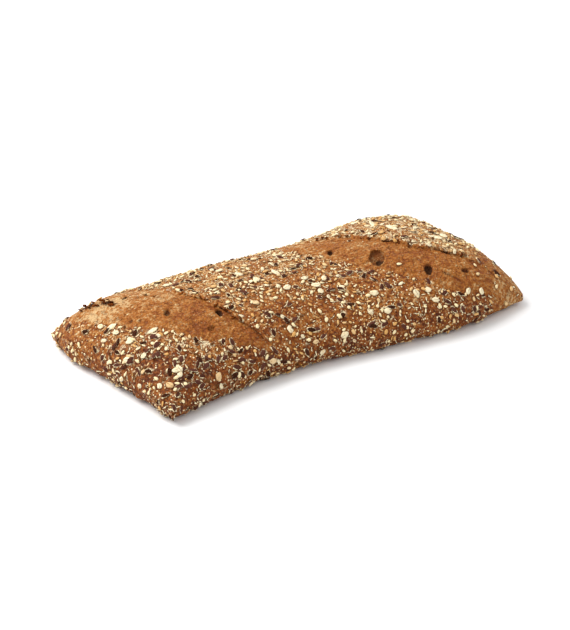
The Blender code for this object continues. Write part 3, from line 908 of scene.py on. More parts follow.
def opaque(colour):
    """A colour with its alpha. A socket stays as it is."""
    return colour if isinstance(colour, bpy.types.NodeSocket) else (*colour, 1)


def mixed(tree, factor, first, second):
    """The first colour where the factor is 0, and the second where it is 1."""
    inputs = {0: factor, 6: opaque(first), 7: opaque(second)}
    return put(tree, "ShaderNodeMix", inputs, data_type="RGBA").outputs[2]


def noisy(tree, where, breadth, detail=2.0, roughness=0.5):
    """Noise from 0 to 1 with lumps of this breadth, in metres."""
    inputs = {"Vector": where, "Scale": 1 / breadth, "Detail": detail, "Roughness": roughness}
    return put(tree, "ShaderNodeTexNoise", inputs).outputs["Fac"]


def attribute(tree, name, output="Fac"):
    """A value that the mesh carries."""
    return put(tree, "ShaderNodeAttribute", attribute_name=name).outputs[output]


def effect(tree, group, inputs):
    """The outputs of a shared effect, placed in a material with its own values."""
    return put(tree, "ShaderNodeGroup", inputs, node_tree=group).outputs


def object_vector(tree):
    """The object's own coordinates."""
    return tree.nodes.new("ShaderNodeTexCoord").outputs["Object"]


def new_material(name, roughness, specular):
    """A material, its node tree and its shader's inputs."""
    made = bpy.data.materials.new(name)
    made.use_nodes = True
    inputs = made.node_tree.nodes["Principled BSDF"].inputs
    inputs["Roughness"].default_value = roughness
    inputs["Specular IOR Level"].default_value = specular
    return made, made.node_tree, inputs


def finish(tree, inputs, colour, height_mm=None):
    """Give a material its colour, and a bump from a height in millimetres."""
    tree.links.new(colour, inputs["Base Color"])
    if height_mm is not None:
        node = put(tree, "ShaderNodeBump", {"Height": height_mm, "Distance": MM, "Strength": 1.0})
        tree.links.new(node.outputs["Normal"], inputs["Normal"])


# ---------------------------------------------------------------------------- shared effects


def oven_tone_group():
    """Crust colour from how long it baked, and the light and shade painted into that, mottled at four
    sizes.
    """
    name = "Oven tone"
    if name in bpy.data.node_groups:
        return bpy.data.node_groups[name]
    tree, given, result = new_group(
        name,
        "ShaderNodeTree",
        [("Vector", VECTOR), ("Bake", FLOAT, 0.5), *((label, FLOAT, 0.3) for label in MOTTLES),
         *((key, "NodeSocketColor") for key in ("Pale", "Golden", "Brown", "Dark"))],
        [("Color", "NodeSocketColor"), ("Tone", FLOAT)],
    )
    tone = given["Bake"]
    for label, breadths in MOTTLES.items():
        for breadth in breadths:
            stretched = remap(tree, noisy(tree, given["Vector"], breadth), 0.3, 0.7, -0.5, 0.5)
            tone = plus(tree, tone, times(tree, stretched, given[label]))
    colour = mixed(tree, remap(tree, tone, 0.0, 0.35), given["Pale"], given["Golden"])
    colour = mixed(tree, remap(tree, tone, 0.3, 0.7), colour, given["Brown"])
    colour = mixed(tree, remap(tree, tone, 0.65, 1.1), colour, given["Dark"])
    tree.links.new(colour, result["Color"])
    tree.links.new(tone, result["Tone"])
    return tree


def flour_group():
    """A mask of dusty flour: soft drifts broken up by fine grains."""
    name = "Flour dust"
    if name in bpy.data.node_groups:
        return bpy.data.node_groups[name]
    tree, given, result = new_group(
        name, "ShaderNodeTree", [("Vector", VECTOR), ("Amount", FLOAT, 0.5)], [("Mask", FLOAT)]
    )
    drifts = noisy(tree, given["Vector"], 6 * MM, 3.0, 0.6)
    grains = noisy(tree, given["Vector"], 0.9 * MM, 3.0, 0.65)
    both = plus(tree, times(tree, drifts, 0.55), times(tree, grains, 0.45))
    # The more flour there is, the lower the level that it has to rise above
    level = calculate(tree, "MULTIPLY_ADD", given["Amount"], -0.20, 0.66)
    above = calculate(tree, "SUBTRACT", both, level)
    tree.links.new(remap(tree, above, 0.0, 0.10), result["Mask"])
    return tree


def specks_group():
    """Round specks of one breadth, a share of them present, each with its own random number."""
    name = "Specks"
    if name in bpy.data.node_groups:
        return bpy.data.node_groups[name]
    tree, given, result = new_group(
        name,
        "ShaderNodeTree",
        [("Vector", VECTOR), ("Per Metre", FLOAT, 900.0), ("Share", FLOAT, 0.3), ("Size", FLOAT, 0.35)],
        [("Mask", FLOAT), ("Pick", FLOAT), ("Height", FLOAT)],
    )
    inputs = {"Vector": given["Vector"], "Scale": given["Per Metre"]}
    cells = put(tree, "ShaderNodeTexVoronoi", inputs).outputs
    draws = put(tree, "ShaderNodeSeparateColor", {0: cells["Color"]}).outputs
    chosen = calculate(tree, "LESS_THAN", draws[0], given["Share"])
    size = times(tree, given["Size"], calculate(tree, "MULTIPLY_ADD", draws[2], 0.8, 0.6))
    inside = calculate(tree, "SUBTRACT", size, cells["Distance"])
    tree.links.new(times(tree, remap(tree, inside, 0.0, 0.1), chosen), result["Mask"])
    tree.links.new(draws[1], result["Pick"])
    tree.links.new(times(tree, remap(tree, inside, 0.0, 0.3), chosen), result["Height"])
    return tree


def blister_group():
    """Small round blisters of two sizes, as a height."""
    name = "Blisters"
    if name in bpy.data.node_groups:
        return bpy.data.node_groups[name]
    tree, given, result = new_group(
        name, "ShaderNodeTree", [("Vector", VECTOR), ("Per Metre", FLOAT, 900.0)], [("Height", FLOAT)]
    )
    heights = []
    for per_metre in (given["Per Metre"], times(tree, given["Per Metre"], 2.3)):
        inputs = {"Vector": given["Vector"], "Scale": per_metre, "Smoothness": 0.5}
        cells = put(tree, "ShaderNodeTexVoronoi", inputs, feature="SMOOTH_F1").outputs
        heights.append(calculate(tree, "SUBTRACT", 1.0, cells["Distance"]))
    broad, small = heights
    tree.links.new(plus(tree, broad, times(tree, small, 0.45)), result["Height"])
    return tree


# ---------------------------------------------------------------------------- the crust's finish


def crust_material(settings):
    """The baked crust: tone, blisters, specks, flour, scorched edges, sole, and painted light and
    shade.
    """
    made, tree, inputs = new_material("baked crust", 0.62, 0.12)
    where = object_vector(tree)
    bare = attribute(tree, "bare")
    char = attribute(tree, "char")
    seeded = calculate(tree, "SUBTRACT", 1.0, bare)
    # The tone holds the painted light and shade of the bake
    tone = effect(tree, oven_tone_group(), {
        "Vector": where,
        "Bake": attribute(tree, "bake"),
        "Broad Mottle": 0.24,
        "Fine Mottle": remap(tree, bare, 0.0, 1.0, 0.32, 0.23),
        "Pale": opaque(settings.pale),
        "Golden": opaque(settings.golden),
        "Brown": opaque(settings.brown),
        "Dark": opaque(settings.dark),
    })

    # Painted highlight and shade: blisters are painted paler on top and darker between, and more so
    # among the seeds
    per_metre = 1 / settings.blister
    blisters = effect(tree, blister_group(), {"Vector": where, "Per Metre": per_metre})["Height"]
    depth = remap(tree, seeded, 0.0, 1.0, 0.44, 0.6)
    blister_shade = times(tree, remap(tree, blisters, 0.68, 0.44), depth)
    colour = mixed(tree, blister_shade, tone["Color"], settings.dark)
    highlight_share = remap(tree, seeded, 0.0, 1.0, 0.16, 0.28)
    blister_highlight = times(tree, remap(tree, blisters, 0.84, 1.04), highlight_share)
    colour = mixed(tree, blister_highlight, colour, settings.pale)

    # Specks of bran and grain, and finer burnt ones
    specks = effect(tree, specks_group(), {
        "Vector": where, "Per Metre": 1 / (1.5 * MM), "Share": 0.5, "Size": 0.33,
    })
    warm = mixed(tree, remap(tree, specks["Pick"], 0.2, 0.8), settings.pale, settings.flour)
    warm = mixed(tree, calculate(tree, "LESS_THAN", specks["Pick"], 0.25), warm, settings.dark)
    strength = remap(tree, bare, 0.0, 1.0, 0.9, 0.14)
    colour = mixed(tree, times(tree, specks["Mask"], strength), colour, warm)
    burnt = effect(tree, specks_group(), {
        "Vector": where, "Per Metre": 1 / (1.3 * MM), "Share": 0.3, "Size": 0.34,
    })["Mask"]
    burnt = times(tree, burnt, remap(tree, seeded, 0.0, 1.0, 0.45, 0.8))
    colour = mixed(tree, burnt, colour, settings.dark)
    # Painted shade: the crust is darker round the pale seeds, where they sit in it
    colour = mixed(tree, times(tree, attribute(tree, "nestled"), 0.9), colour, settings.dark)

    # Flour lies in drifts between the seeds, and in broken rings round the dark ones
    drifts = effect(tree, flour_group(), {"Vector": where, "Amount": attribute(tree, "flour")})["Mask"]
    drifts = times(tree, drifts, seeded, 0.75)
    ragged = remap(tree, noisy(tree, where, 2.4 * MM, 3.0, 0.6), 0.48, 0.56)
    gaps = remap(tree, noisy(tree, where, 3.2 * MM, 1.0), 0.42, 0.56)
    rings = times(tree, attribute(tree, "dusted"), ragged, gaps, 0.95)
    dust = calculate(tree, "MAXIMUM", drifts, rings)
    colour = mixed(tree, dust, colour, settings.flour)

    sole = mixed(tree, noisy(tree, where, 5 * MM, 5.0, 0.7), settings.sole, settings.brown)
    colour = mixed(tree, attribute(tree, "under"), colour, sole)
    # Painted shade in the pits and under the high lips, and scorch, from dark to char
    scorch_and_shade_colour = mixed(tree, remap(tree, char, 0.45, 1.0), settings.dark, settings.char)
    colour = mixed(tree, remap(tree, char, 0.0, 0.8, 0.0, 0.92), colour, scorch_and_shade_colour)
    tree.links.new(remap(tree, tone["Tone"], 0.2, 0.9, 0.72, 0.5), inputs["Roughness"])
    coarse = times(tree, noisy(tree, where, 2.6 * MM, 4.0, 0.6), 1.5)
    finish(tree, inputs, colour, plus(
        tree, blisters, coarse, times(tree, specks["Height"], 0.25), times(tree, dust, 0.15)
    ))
    return made


# ---------------------------------------------------------------------------- seeds and flakes


def rounded_mesh(name, sides, rings, point, jitter, seed, husk=0.0):
    """A seed two units long, wide and thick about the origin, drawn out to a point at +X.

    The attribute "own" is each point's place on the seed, from -1 to 1 each way. husk is how
    far a torn husk stands out round the middle.
    """
    draw = random.Random(seed)
    points = [(-1.0, 0.0, 0.0)]
    for k in range(1, rings):
        turn = math.pi * k / rings
        x = -math.cos(turn)
        radius = math.sin(turn) ** 0.85 * (1 - point * (x + 0.2))
        for side in range(sides):
            angle = 2 * math.pi * side / sides
            grown = radius * (1 + draw.uniform(-jitter, jitter))
            edge = 1 + husk * draw.uniform(0, 1) * (abs(math.sin(angle)) < 0.1)
            points.append((x * edge, grown * edge * math.cos(angle), grown * math.sin(angle)))
    points.append((1.0 + draw.uniform(-jitter, jitter), 0.0, 0.0))
    faces = []
    last = len(points) - 1
    for side in range(sides):
        after = (side + 1) % sides
        faces.append((0, 1 + after, 1 + side))
        faces.append((last, last - sides + side, last - sides + after))
        for k in range(rings - 2):
            low = 1 + k * sides
            faces.append((low + side, low + after, low + sides + after, low + sides + side))
    return grain_object(name, points, faces)


def flake_mesh(name, corners, square, curl, jitter, seed):
    """An irregular flake two units long, wide and thick, curled up along X.

    square is 2 for a round flake and more for one with four corners.
    """
    draw = random.Random(seed)
    outline = []
    for k in range(corners):
        angle = 2 * math.pi * (k + draw.uniform(-0.25, 0.25)) / corners
        across, along = math.cos(angle), math.sin(angle)
        radius = (abs(across) ** square + abs(along) ** square) ** (-1 / square)
        radius *= 0.92 + draw.uniform(-jitter, jitter)
        outline.append((radius * across, radius * along))
    points = [(0.0, 0.0, 0.7), (0.0, 0.0, -0.9)]
    for x, y in outline:
        points.append((x, y, -0.1 + draw.uniform(-0.3, 0.3)))
    for x, y in outline:
        points.append((0.8 * x, 0.8 * y, 0.75 + draw.uniform(-0.25, 0.25)))
    faces = []
    for k in range(corners):
        after = (k + 1) % corners
        outer, outer_after = 2 + k, 2 + after
        inner, inner_after = 2 + corners + k, 2 + corners + after
        faces.append((0, inner, inner_after))
        faces.append((inner, outer, outer_after, inner_after))
        faces.append((1, outer_after, outer))
    bent = [(x, y, z + curl * (x * x - 0.4) + 0.3 * curl * x * y) for x, y, z in points]
    return grain_object(name, bent, faces, own=points)


def grain_object(name, points, faces, own=None):
    """One grain to scatter. own is each point's place on it, where that isn't its place."""
    mesh = bpy.data.meshes.new(name)
    mesh.from_pydata(points, [], faces)
    place = mesh.attributes.new("own", "FLOAT_VECTOR", "POINT")
    place.data.foreach_set("vector", np.array(own or points, np.float32).ravel())
    bm = bmesh.new()
    bm.from_mesh(mesh)
    bmesh.ops.recalc_face_normals(bm, faces=bm.faces[:])
    bm.to_mesh(mesh)
    bm.free()
    return bpy.data.objects.new(name, mesh)


def scatter_tree():
    """Geometry Nodes that scatter a kind of grain on the crust, with those laid one by one."""
    name = "Scatter on the crust"
    if name in bpy.data.node_groups:
        return bpy.data.node_groups[name]
    tree, given, result = new_group(
        name,
        "GeometryNodeTree",
        [
            ("Crust", "NodeSocketGeometry"),
            ("Cover", "NodeSocketString", "sesame"),
            ("Grains", "NodeSocketCollection"),
            ("Laid", "NodeSocketObject"),
            ("Others", "NodeSocketCollection"),
            ("Gap", "NodeSocketFloat", 0.003),
            ("Clearance", "NodeSocketFloat", 0.0005),
            ("Smallest", "NodeSocketVector"),
            ("Largest", "NodeSocketVector"),
            ("Lift", "NodeSocketFloat", 0.0002),
            ("Lean", "NodeSocketFloat", 0.2),
            ("Seed", "NodeSocketInt", 1),
            ("Material", "NodeSocketMaterial"),
        ],
        [("Grains", "NodeSocketGeometry")],
    )

    def made(kind, inputs, **settings):
        return put(tree, kind, inputs, **settings).outputs[0]

    def named(label, data_type="FLOAT_VECTOR"):
        return made("GeometryNodeInputNamedAttribute", {"Name": label}, data_type=data_type)

    def drawn(seed_shift, low, high):
        seed = plus(tree, given["Seed"], seed_shift) if seed_shift else given["Seed"]
        inputs = {0: low, 1: high, "Seed": seed}
        return made("FunctionNodeRandomValue", inputs, data_type="FLOAT_VECTOR")

    # Spots at least a gap apart, off the pieces that are there already
    most_dense = calculate(tree, "DIVIDE", 3.0, times(tree, given["Gap"], given["Gap"]))
    spots = made(
        "GeometryNodeDistributePointsOnFaces",
        {"Mesh": given["Crust"], "Distance Min": given["Gap"], "Density Max": most_dense,
         "Density Factor": named(given["Cover"], "FLOAT"), "Seed": given["Seed"]},
        distribute_method="POISSON",
    )
    others = made("GeometryNodeCollectionInfo", {"Collection": given["Others"]})
    others = made("GeometryNodeRealizeInstances", {"Geometry": others})
    near = put(tree, "GeometryNodeProximity", {"Geometry": others}, target_element="FACES").outputs
    close = calculate(tree, "LESS_THAN", near["Distance"], given["Clearance"])
    close = made("FunctionNodeBooleanMath", {0: close, 1: near["Is Valid"]}, operation="AND")
    spots = made("GeometryNodeDeleteGeometry", {"Geometry": spots, "Selection": close}, domain="POINT")

    # Each faces out of the crust, turned and leaning at random, of a random size and tone
    upright = made("FunctionNodeAlignRotationToVector", {"Vector": named("facing")}, axis="Z")
    lean = given["Lean"]
    lean_back = times(tree, lean, -1.0)
    least = made("ShaderNodeCombineXYZ", {0: lean_back, 1: lean_back, 2: 0.0})
    most = made("ShaderNodeCombineXYZ", {0: lean, 1: lean, 2: 2 * math.pi})
    swing = made("FunctionNodeEulerToRotation", {"Euler": drawn(0, least, most)})
    turned = made(
        "FunctionNodeRotateRotation",
        {"Rotation": upright, "Rotate By": swing},
        rotation_space="LOCAL",
    )
    turned = made("FunctionNodeRotationToEuler", {"Rotation": turned})
    size = drawn(SIZE_SEED, given["Smallest"], given["Largest"])
    tone_seed = {"Seed": plus(tree, given["Seed"], TONE_SEED)}
    tone = put(tree, "FunctionNodeRandomValue", tone_seed, data_type="FLOAT").outputs[1]
    for label, value in (("turned", turned), ("size", size), ("tone", tone)):
        spots = made(
            "GeometryNodeStoreNamedAttribute",
            {"Geometry": spots, "Name": label, "Value": value},
            data_type="FLOAT" if label == "tone" else "FLOAT_VECTOR",
            domain="POINT",
        )

    # Those laid one by one carry the same values, and all are placed alike
    laid = put(tree, "GeometryNodeObjectInfo", {"Object": given["Laid"]}).outputs["Geometry"]
    laid = made("GeometryNodeMeshToPoints", {"Mesh": laid})
    join = put(tree, "GeometryNodeJoinGeometry")
    tree.links.new(laid, join.inputs[0])
    tree.links.new(spots, join.inputs[0])
    lift = {0: named("facing"), "Scale": given["Lift"]}
    offset = made("ShaderNodeVectorMath", lift, operation="SCALE")
    spots = made("GeometryNodeSetPosition", {"Geometry": join.outputs[0], "Offset": offset})
    grains = made(
        "GeometryNodeCollectionInfo",
        {"Collection": given["Grains"], "Separate Children": True, "Reset Children": True},
    )
    rotation = made("FunctionNodeEulerToRotation", {"Euler": named("turned")})
    placed = made(
        "GeometryNodeInstanceOnPoints",
        {"Points": spots, "Instance": grains, "Pick Instance": True, "Rotation": rotation,
         "Scale": named("size")},
    )
    mesh = made("GeometryNodeRealizeInstances", {"Geometry": placed})
    mesh = made("GeometryNodeSetShadeSmooth", {"Geometry": mesh})
    mesh = made("GeometryNodeSetMaterial", {"Geometry": mesh, "Material": given["Material"]})
    tree.links.new(mesh, result["Grains"])
    return tree


def crust_object():
    """The baked crust, which the toppings lie on."""
    crust = bpy.data.objects.get("crust")
    if crust is None:
        raise RuntimeError("bake the crust before its toppings")
    return crust


def positions(mesh):
    """Every point of a mesh, one a row."""
    values = np.empty(3 * len(mesh.vertices), np.float32)
    mesh.vertices.foreach_get("co", values)
    return values.reshape(-1, 3)


def surface_tree(thing):
    """A mesh's surface, to find its nearest point or what a ray meets."""
    bm = bmesh.new()
    bm.from_mesh(thing.data)
    tree = BVHTree.FromBMesh(bm)
    bm.free()
    return tree


def place_on_crust(s, t):
    """A point of the crust, and the way it faces, as vectors."""
    s = np.array([s, min(s + FACING_NUDGE, 1), max(s - FACING_NUDGE, -1), s, s])
    t = np.array([t, t, t, min(t + FACING_NUDGE, 1), max(t - FACING_NUDGE, -1)])
    points = [Vector(point) for point in zip(*top_point(s, t))]
    facing = (points[1] - points[2]).cross(points[3] - points[4]).normalized()
    return points[0], facing


def is_bare(x, y):
    """Whether a spot lies in a patch that a slash left bare, or close to one."""
    for slash in SLASHES:
        along, past_foot, past_lip = slash_edges(slash, np.array(x), np.array(y))
        if -0.03 < along < 1.03 and past_foot > -PATCH_MARGIN and past_lip < PATCH_MARGIN:
            return True
    return False


def topping_places():
    """Spots for the largest seeds and flakes, the same as on the solid.

    Each is a kind, a point, the way the crust faces there, a turn, a lean and a size.
    """
    draw = random.Random(TOPPING_SEED)
    placed = []
    for _ in range(TOPPING_TRIES):
        s = draw.uniform(-0.99, 0.99)
        t = draw.uniform(-0.995, 0.995)
        kind = draw.choices(list(KINDS), [each.share for each in KINDS.values()])[0]
        turn = draw.uniform(0, 2 * math.pi)
        size = draw.uniform(0.85, 1.15)
        lean = math.radians(draw.uniform(-TOPPING_TILT, TOPPING_TILT))
        point, facing = place_on_crust(s, t)
        if is_bare(point.x, point.y):
            continue
        if all((point - other[1]).length > TOPPING_GAP for other in placed):
            placed.append((kind, point, facing, turn, lean, size))
    return placed


def laid_by_hand(kind, tree, places):
    """Those of one kind that stand on the solid too, and those that the photograph singles out."""
    draw = random.Random(TOPPING_SEED + 1)
    laid = []
    for name, point, facing, turn, lean, size in places:
        tone = draw.random()
        if name != kind:
            continue
        shape = KINDS[name]
        on_crust, _, _, _ = tree.find_nearest(point)
        on_crust = on_crust + facing * (shape.thickness * TOPPING_LIFT * 0.5)
        turned = facing.to_track_quat("Z", "Y").to_matrix() @ Matrix.Rotation(turn, 3, "Z")
        turned = (turned @ Matrix.Rotation(lean, 3, "Y")).to_euler()
        half = [size / 2 * length for length in (shape.length, shape.width, shape.thickness)]
        laid.append(Laid(on_crust, facing, turned, half, tone))
    for spot in STANDOUTS[kind]:
        above = Vector((spot.x, spot.y, 2 * HEIGHT))
        on_crust, facing, _, _ = tree.ray_cast(above, Vector((0, 0, -1)))
        if on_crust is None:
            raise RuntimeError(f"the loaf doesn't reach ({spot.x:.4f}, {spot.y:.4f})")
        turned = facing.to_track_quat("Z", "Y").to_matrix()
        turned = (turned @ Matrix.Rotation(math.radians(spot.turn), 3, "Z")).to_euler()
        half = [spot.length / 2, spot.width / 2, STANDOUT_THICKNESS / 2]
        laid.append(Laid(on_crust + facing * STANDOUT_LIFT * MM, facing, turned, half, spot.tone))
    return laid


def standing_shards(tree):
    """Scraps of torn crust that stand on edge along each tear, facing across it."""
    draw = random.Random(TOPPING_SEED + 2)
    laid = []
    for tear in TEARS:
        ahead = Vector((*np.subtract(tear.end, tear.start), 0)).normalized()
        across = ahead.cross(Vector((0, 0, 1)))
        for k in range(SHARDS):
            share = (k + draw.uniform(0.1, 0.9)) / SHARDS
            spot = Vector((*tear.start, 2 * HEIGHT)).lerp(Vector((*tear.end, 2 * HEIGHT)), share)
            spot += across * draw.uniform(-TEAR_RAGGED, TEAR_RAGGED)
            on_crust, facing, _, _ = tree.ray_cast(spot, Vector((0, 0, -1)))
            if on_crust is None:
                raise RuntimeError("the torn edge runs off the loaf")
            lean = Matrix.Rotation(math.radians(draw.uniform(*SHARD_LEAN)), 3, ahead)
            yaw = Matrix.Rotation(draw.uniform(-0.5, 0.5), 3, "Z")
            front = yaw @ lean @ across
            along = yaw @ ahead
            turned = Matrix((along, front.cross(along), front)).transposed().to_euler()
            half = [draw.uniform(*pair) * MM / 2 for pair in SHARD_SIZES]
            laid.append(Laid(on_crust + facing * half[1] * 0.5, facing, turned, half, draw.random()))
    return laid


def laid_object(name, laid):
    """The spots as loose points that carry their own turn, size and tone."""
    mesh = bpy.data.meshes.new(name)
    mesh.from_pydata([spot.point for spot in laid], [], [])
    for field in ("facing", "turned", "size"):
        values = np.array([list(getattr(spot, field)) for spot in laid], np.float32)
        made = mesh.attributes.new(field, "FLOAT_VECTOR", "POINT")
        made.data.foreach_set("vector", values.ravel())
    tones = mesh.attributes.new("tone", "FLOAT", "POINT")
    tones.data.foreach_set("value", np.array([spot.tone for spot in laid], np.float32))
    return bpy.data.objects.new(name, mesh)


def scatter(name, gap, grains, laid, finish_of_grains):
    """Scatter one kind of grain on the crust as one plain mesh that rides on the loaf."""
    plan = PLANS[name]
    crust = crust_object()
    finished = bpy.data.collections.get("toppings") or bpy.data.collections.new("toppings")
    if finished.name not in bpy.context.scene.collection.children:
        bpy.context.scene.collection.children.link(finished)
    shapes = bpy.data.collections.new(f"{name} shapes")
    for grain in grains:
        shapes.objects.link(grain)
    spots = laid_object(f"{name} spots", laid)
    piece = bpy.data.objects.new(name, crust.data)
    bpy.context.scene.collection.objects.link(piece)
    modifier = piece.modifiers.new("Scatter", "NODES")
    tree = scatter_tree()
    modifier.node_group = tree
    names = {item.name: item.identifier for item in tree.interface.items_tree
             if item.in_out == "INPUT"}
    values = {
        "Cover": plan.kind,
        "Grains": shapes,
        "Laid": spots,
        "Others": finished,
        "Gap": gap,
        "Clearance": plan.clearance,
        "Smallest": [length / 2 for length in plan.smallest],
        "Largest": [length / 2 for length in plan.largest],
        "Lift": plan.lift,
        "Lean": plan.lean,
        "Seed": plan.seed,
        "Material": finish_of_grains,
    }
    for label, value in values.items():
        modifier[names[label]] = value
    evaluated = piece.evaluated_get(bpy.context.evaluated_depsgraph_get())
    mesh = bpy.data.meshes.new_from_object(evaluated)
    piece.modifiers.clear()
    piece.data = mesh
    mesh.name = name
    for found in [each.name for each in mesh.attributes]:
        if not found.startswith(".") and found not in KEPT_ATTRIBUTES:
            mesh.attributes.remove(mesh.attributes[found])
    for thing in [*grains, spots]:
        bpy.data.objects.remove(thing)
    bpy.data.collections.remove(shapes)
    bpy.context.scene.collection.objects.unlink(piece)
    finished.objects.link(piece)
    if not mesh.polygons:
        raise RuntimeError(f"no {name} were scattered")
    points = positions(mesh)
    points[:, 2] = np.maximum(points[:, 2], 0)
    mesh.attributes["position"].data.foreach_set("vector", points.ravel())
    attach(piece, BODY)
    return piece


# ---------------------------------------------------------------------------- their finishes


def own_place(tree):
    """A grain's own coordinates, each from -1 to 1, and its distance from its middle in plan."""
    own = put(tree, "ShaderNodeSeparateXYZ", {0: attribute(tree, "own", "Vector")}).outputs
    across = calculate(tree, "POWER", own[1], 2.0)
    along = calculate(tree, "POWER", own[0], 2.0)
    return own, calculate(tree, "SQRT", plus(tree, across, along))


def sesame_material(settings, crust):
    """Pale sesame, browner at the tip, with painted shade at the rim, and some of it toasted."""
    made, tree, inputs = new_material("sesame", 0.5, 0.3)
    where = object_vector(tree)
    own, radius = own_place(tree)
    toast = remap(tree, attribute(tree, "tone"), 0.45, 1.0)
    tip = times(tree, remap(tree, own[0], 0.35, 1.0), 0.5)
    stain = times(tree, remap(tree, noisy(tree, where, 1.1 * MM), 0.5, 0.75), 0.3)
    colour = mixed(tree, toast, settings.sesame, settings.toasted)
    colour = mixed(tree, tip, colour, settings.toasted)
    colour = mixed(tree, stain, colour, settings.toasted)
    # Painted shade round the rim, where the seed sits in the crust
    colour = mixed(tree, remap(tree, radius, 0.82, 1.02, 0.0, 0.7), colour, crust.brown)
    finish(tree, inputs, colour, times(tree, noisy(tree, where, 0.5 * MM, 2.0), 0.06))
    return made


def linseed_material(settings, crust):
    """Dark linseed with paler streaks, partly painted sheen, and a broken rim of flour or torn husk."""
    made, tree, inputs = new_material("linseed", 0.55, 0.0)
    where = object_vector(tree)
    _, radius = own_place(tree)
    deep = remap(tree, attribute(tree, "tone"), 0.2, 0.9, 0.0, 0.85)
    streaks_and_sheen = remap(tree, noisy(tree, where, 0.9 * MM, 3.0, 0.6), 0.54, 0.68, 0.0, 0.6)
    broken = remap(tree, noisy(tree, where, 2.6 * MM, 2.0), 0.42, 0.54)
    rim = times(tree, remap(tree, radius, 0.9, 1.05), broken)
    colour = mixed(tree, deep, settings.linseed, crust.char)
    # The paler streaks are partly the seed's own mottle and partly painted sheen
    colour = mixed(tree, streaks_and_sheen, colour, settings.bran)
    colour = mixed(tree, rim, colour, crust.flour)
    tree.links.new(remap(tree, rim, 0.0, 1.0, 0.4, 0.7), inputs["Roughness"])
    finish(tree, inputs, colour, times(tree, noisy(tree, where, 0.6 * MM, 2.0), 0.05))
    return made


def flake_material(settings, crust):
    """Oat flakes, pale or toasted, with a brown crease along the middle and painted shade at the edges.
    """
    made, tree, inputs = new_material("oat flake", 0.65, 0.2)
    where = object_vector(tree)
    own, radius = own_place(tree)
    toast = remap(tree, attribute(tree, "tone"), 0.5, 0.0)
    crease = remap(tree, calculate(tree, "ABSOLUTE", own[1]), 0.16, 0.0)
    crease = times(tree, crease, remap(tree, noisy(tree, where, 2 * MM), 0.4, 0.6))
    stain = times(tree, remap(tree, noisy(tree, where, 1.6 * MM, 3.0), 0.5, 0.7), 0.45)
    colour = mixed(tree, toast, settings.oat, settings.toasted)
    colour = mixed(tree, times(tree, crease, 0.6), colour, crust.brown)
    # Painted shade round the edge, where the flake sits in the crust
    colour = mixed(tree, remap(tree, radius, 0.8, 1.0, 0.0, 0.6), colour, crust.brown)
    colour = mixed(tree, stain, colour, settings.toasted)
    rough = times(tree, noisy(tree, where, 1.2 * MM, 4.0, 0.6), 0.7)
    finish(tree, inputs, colour, calculate(tree, "SUBTRACT", rough, times(tree, crease, 0.25)))
    return made


def bran_material(settings, crust):
    """Brown bran, striped across, with a broken rim of flour."""
    made, tree, inputs = new_material("bran", 0.6, 0.0)
    where = object_vector(tree)
    _, radius = own_place(tree)
    stripes = put(
        tree,
        "ShaderNodeTexWave",
        {"Vector": attribute(tree, "own", "Vector"), "Scale": 1.1, "Distortion": 3.0, "Detail": 2.0},
        bands_direction="Y",
    ).outputs["Fac"]
    pale = times(tree, remap(tree, stripes, 0.7, 0.95), 0.4)
    broken = remap(tree, noisy(tree, where, 2.4 * MM, 2.0), 0.4, 0.52)
    rim = times(tree, remap(tree, radius, 0.84, 0.96), broken)
    colour = mixed(tree, attribute(tree, "tone"), settings.bran, crust.dark)
    colour = mixed(tree, pale, colour, settings.toasted)
    colour = mixed(tree, rim, colour, crust.flour)
    finish(tree, inputs, colour, times(tree, stripes, 0.2))
    return made


def grit_material(settings, crust):
    """Grits from yellow maize through pale and toasted grain to a few burnt ones."""
    made, tree, inputs = new_material("grits", 0.5, 0.25)
    tone = attribute(tree, "tone")
    stain = times(tree, noisy(tree, object_vector(tree), 0.8 * MM), 0.4)
    colour = mixed(tree, remap(tree, tone, 0.1, 0.25), settings.maize, settings.sesame)
    colour = mixed(tree, remap(tree, tone, 0.7, 0.85), colour, settings.toasted)
    colour = mixed(tree, remap(tree, tone, 0.88, 0.92), colour, crust.dark)
    finish(tree, inputs, mixed(tree, stain, colour, settings.toasted))
    return made


def chaff_material(settings, crust):
    """Splinters of husk, pale as flour or toasted."""
    made, tree, inputs = new_material("chaff", 0.65, 0.2)
    toast = remap(tree, attribute(tree, "tone"), 0.6, 1.0)
    finish(tree, inputs, mixed(tree, toast, crust.flour, settings.toasted))
    return made


def torn_material(crust):
    """Torn scraps of crust, mottled dark, and burnt in places at their edges."""
    made, tree, inputs = new_material("torn crust", 0.65, 0.0)
    where = object_vector(tree)
    _, radius = own_place(tree)
    mottle = remap(tree, noisy(tree, where, 1.2 * MM, 3.0, 0.6), 0.45, 0.75)
    spots = remap(tree, noisy(tree, where, 2.2 * MM), 0.46, 0.6)
    burnt = times(tree, remap(tree, radius, 0.6, 0.95), spots)
    colour = mixed(tree, attribute(tree, "tone"), crust.brown, crust.dark)
    colour = mixed(tree, mottle, colour, crust.dark)
    colour = mixed(tree, burnt, colour, crust.char)
    finish(tree, inputs, colour, times(tree, noisy(tree, where, 0.9 * MM, 3.0), 0.4))
    return made


# ---------------------------------------------------------------------------- operators


class LOAF_OT_crust(bpy.types.Operator):
    """Bake the crust: the loaf's closed form with its lips, bubbles and colours"""

    bl_idname = "loaf.crust"
    bl_label = "Bake the crust"

    def execute(self, context):
        settings = context.scene.loaf_crust
        crust = bpy.data.objects.new("crust", build_crust(settings))
        context.scene.collection.objects.link(crust)
        crust.data.materials.append(crust_material(settings))
        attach(crust, BODY)
        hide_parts(NODE)
        return {"FINISHED"}


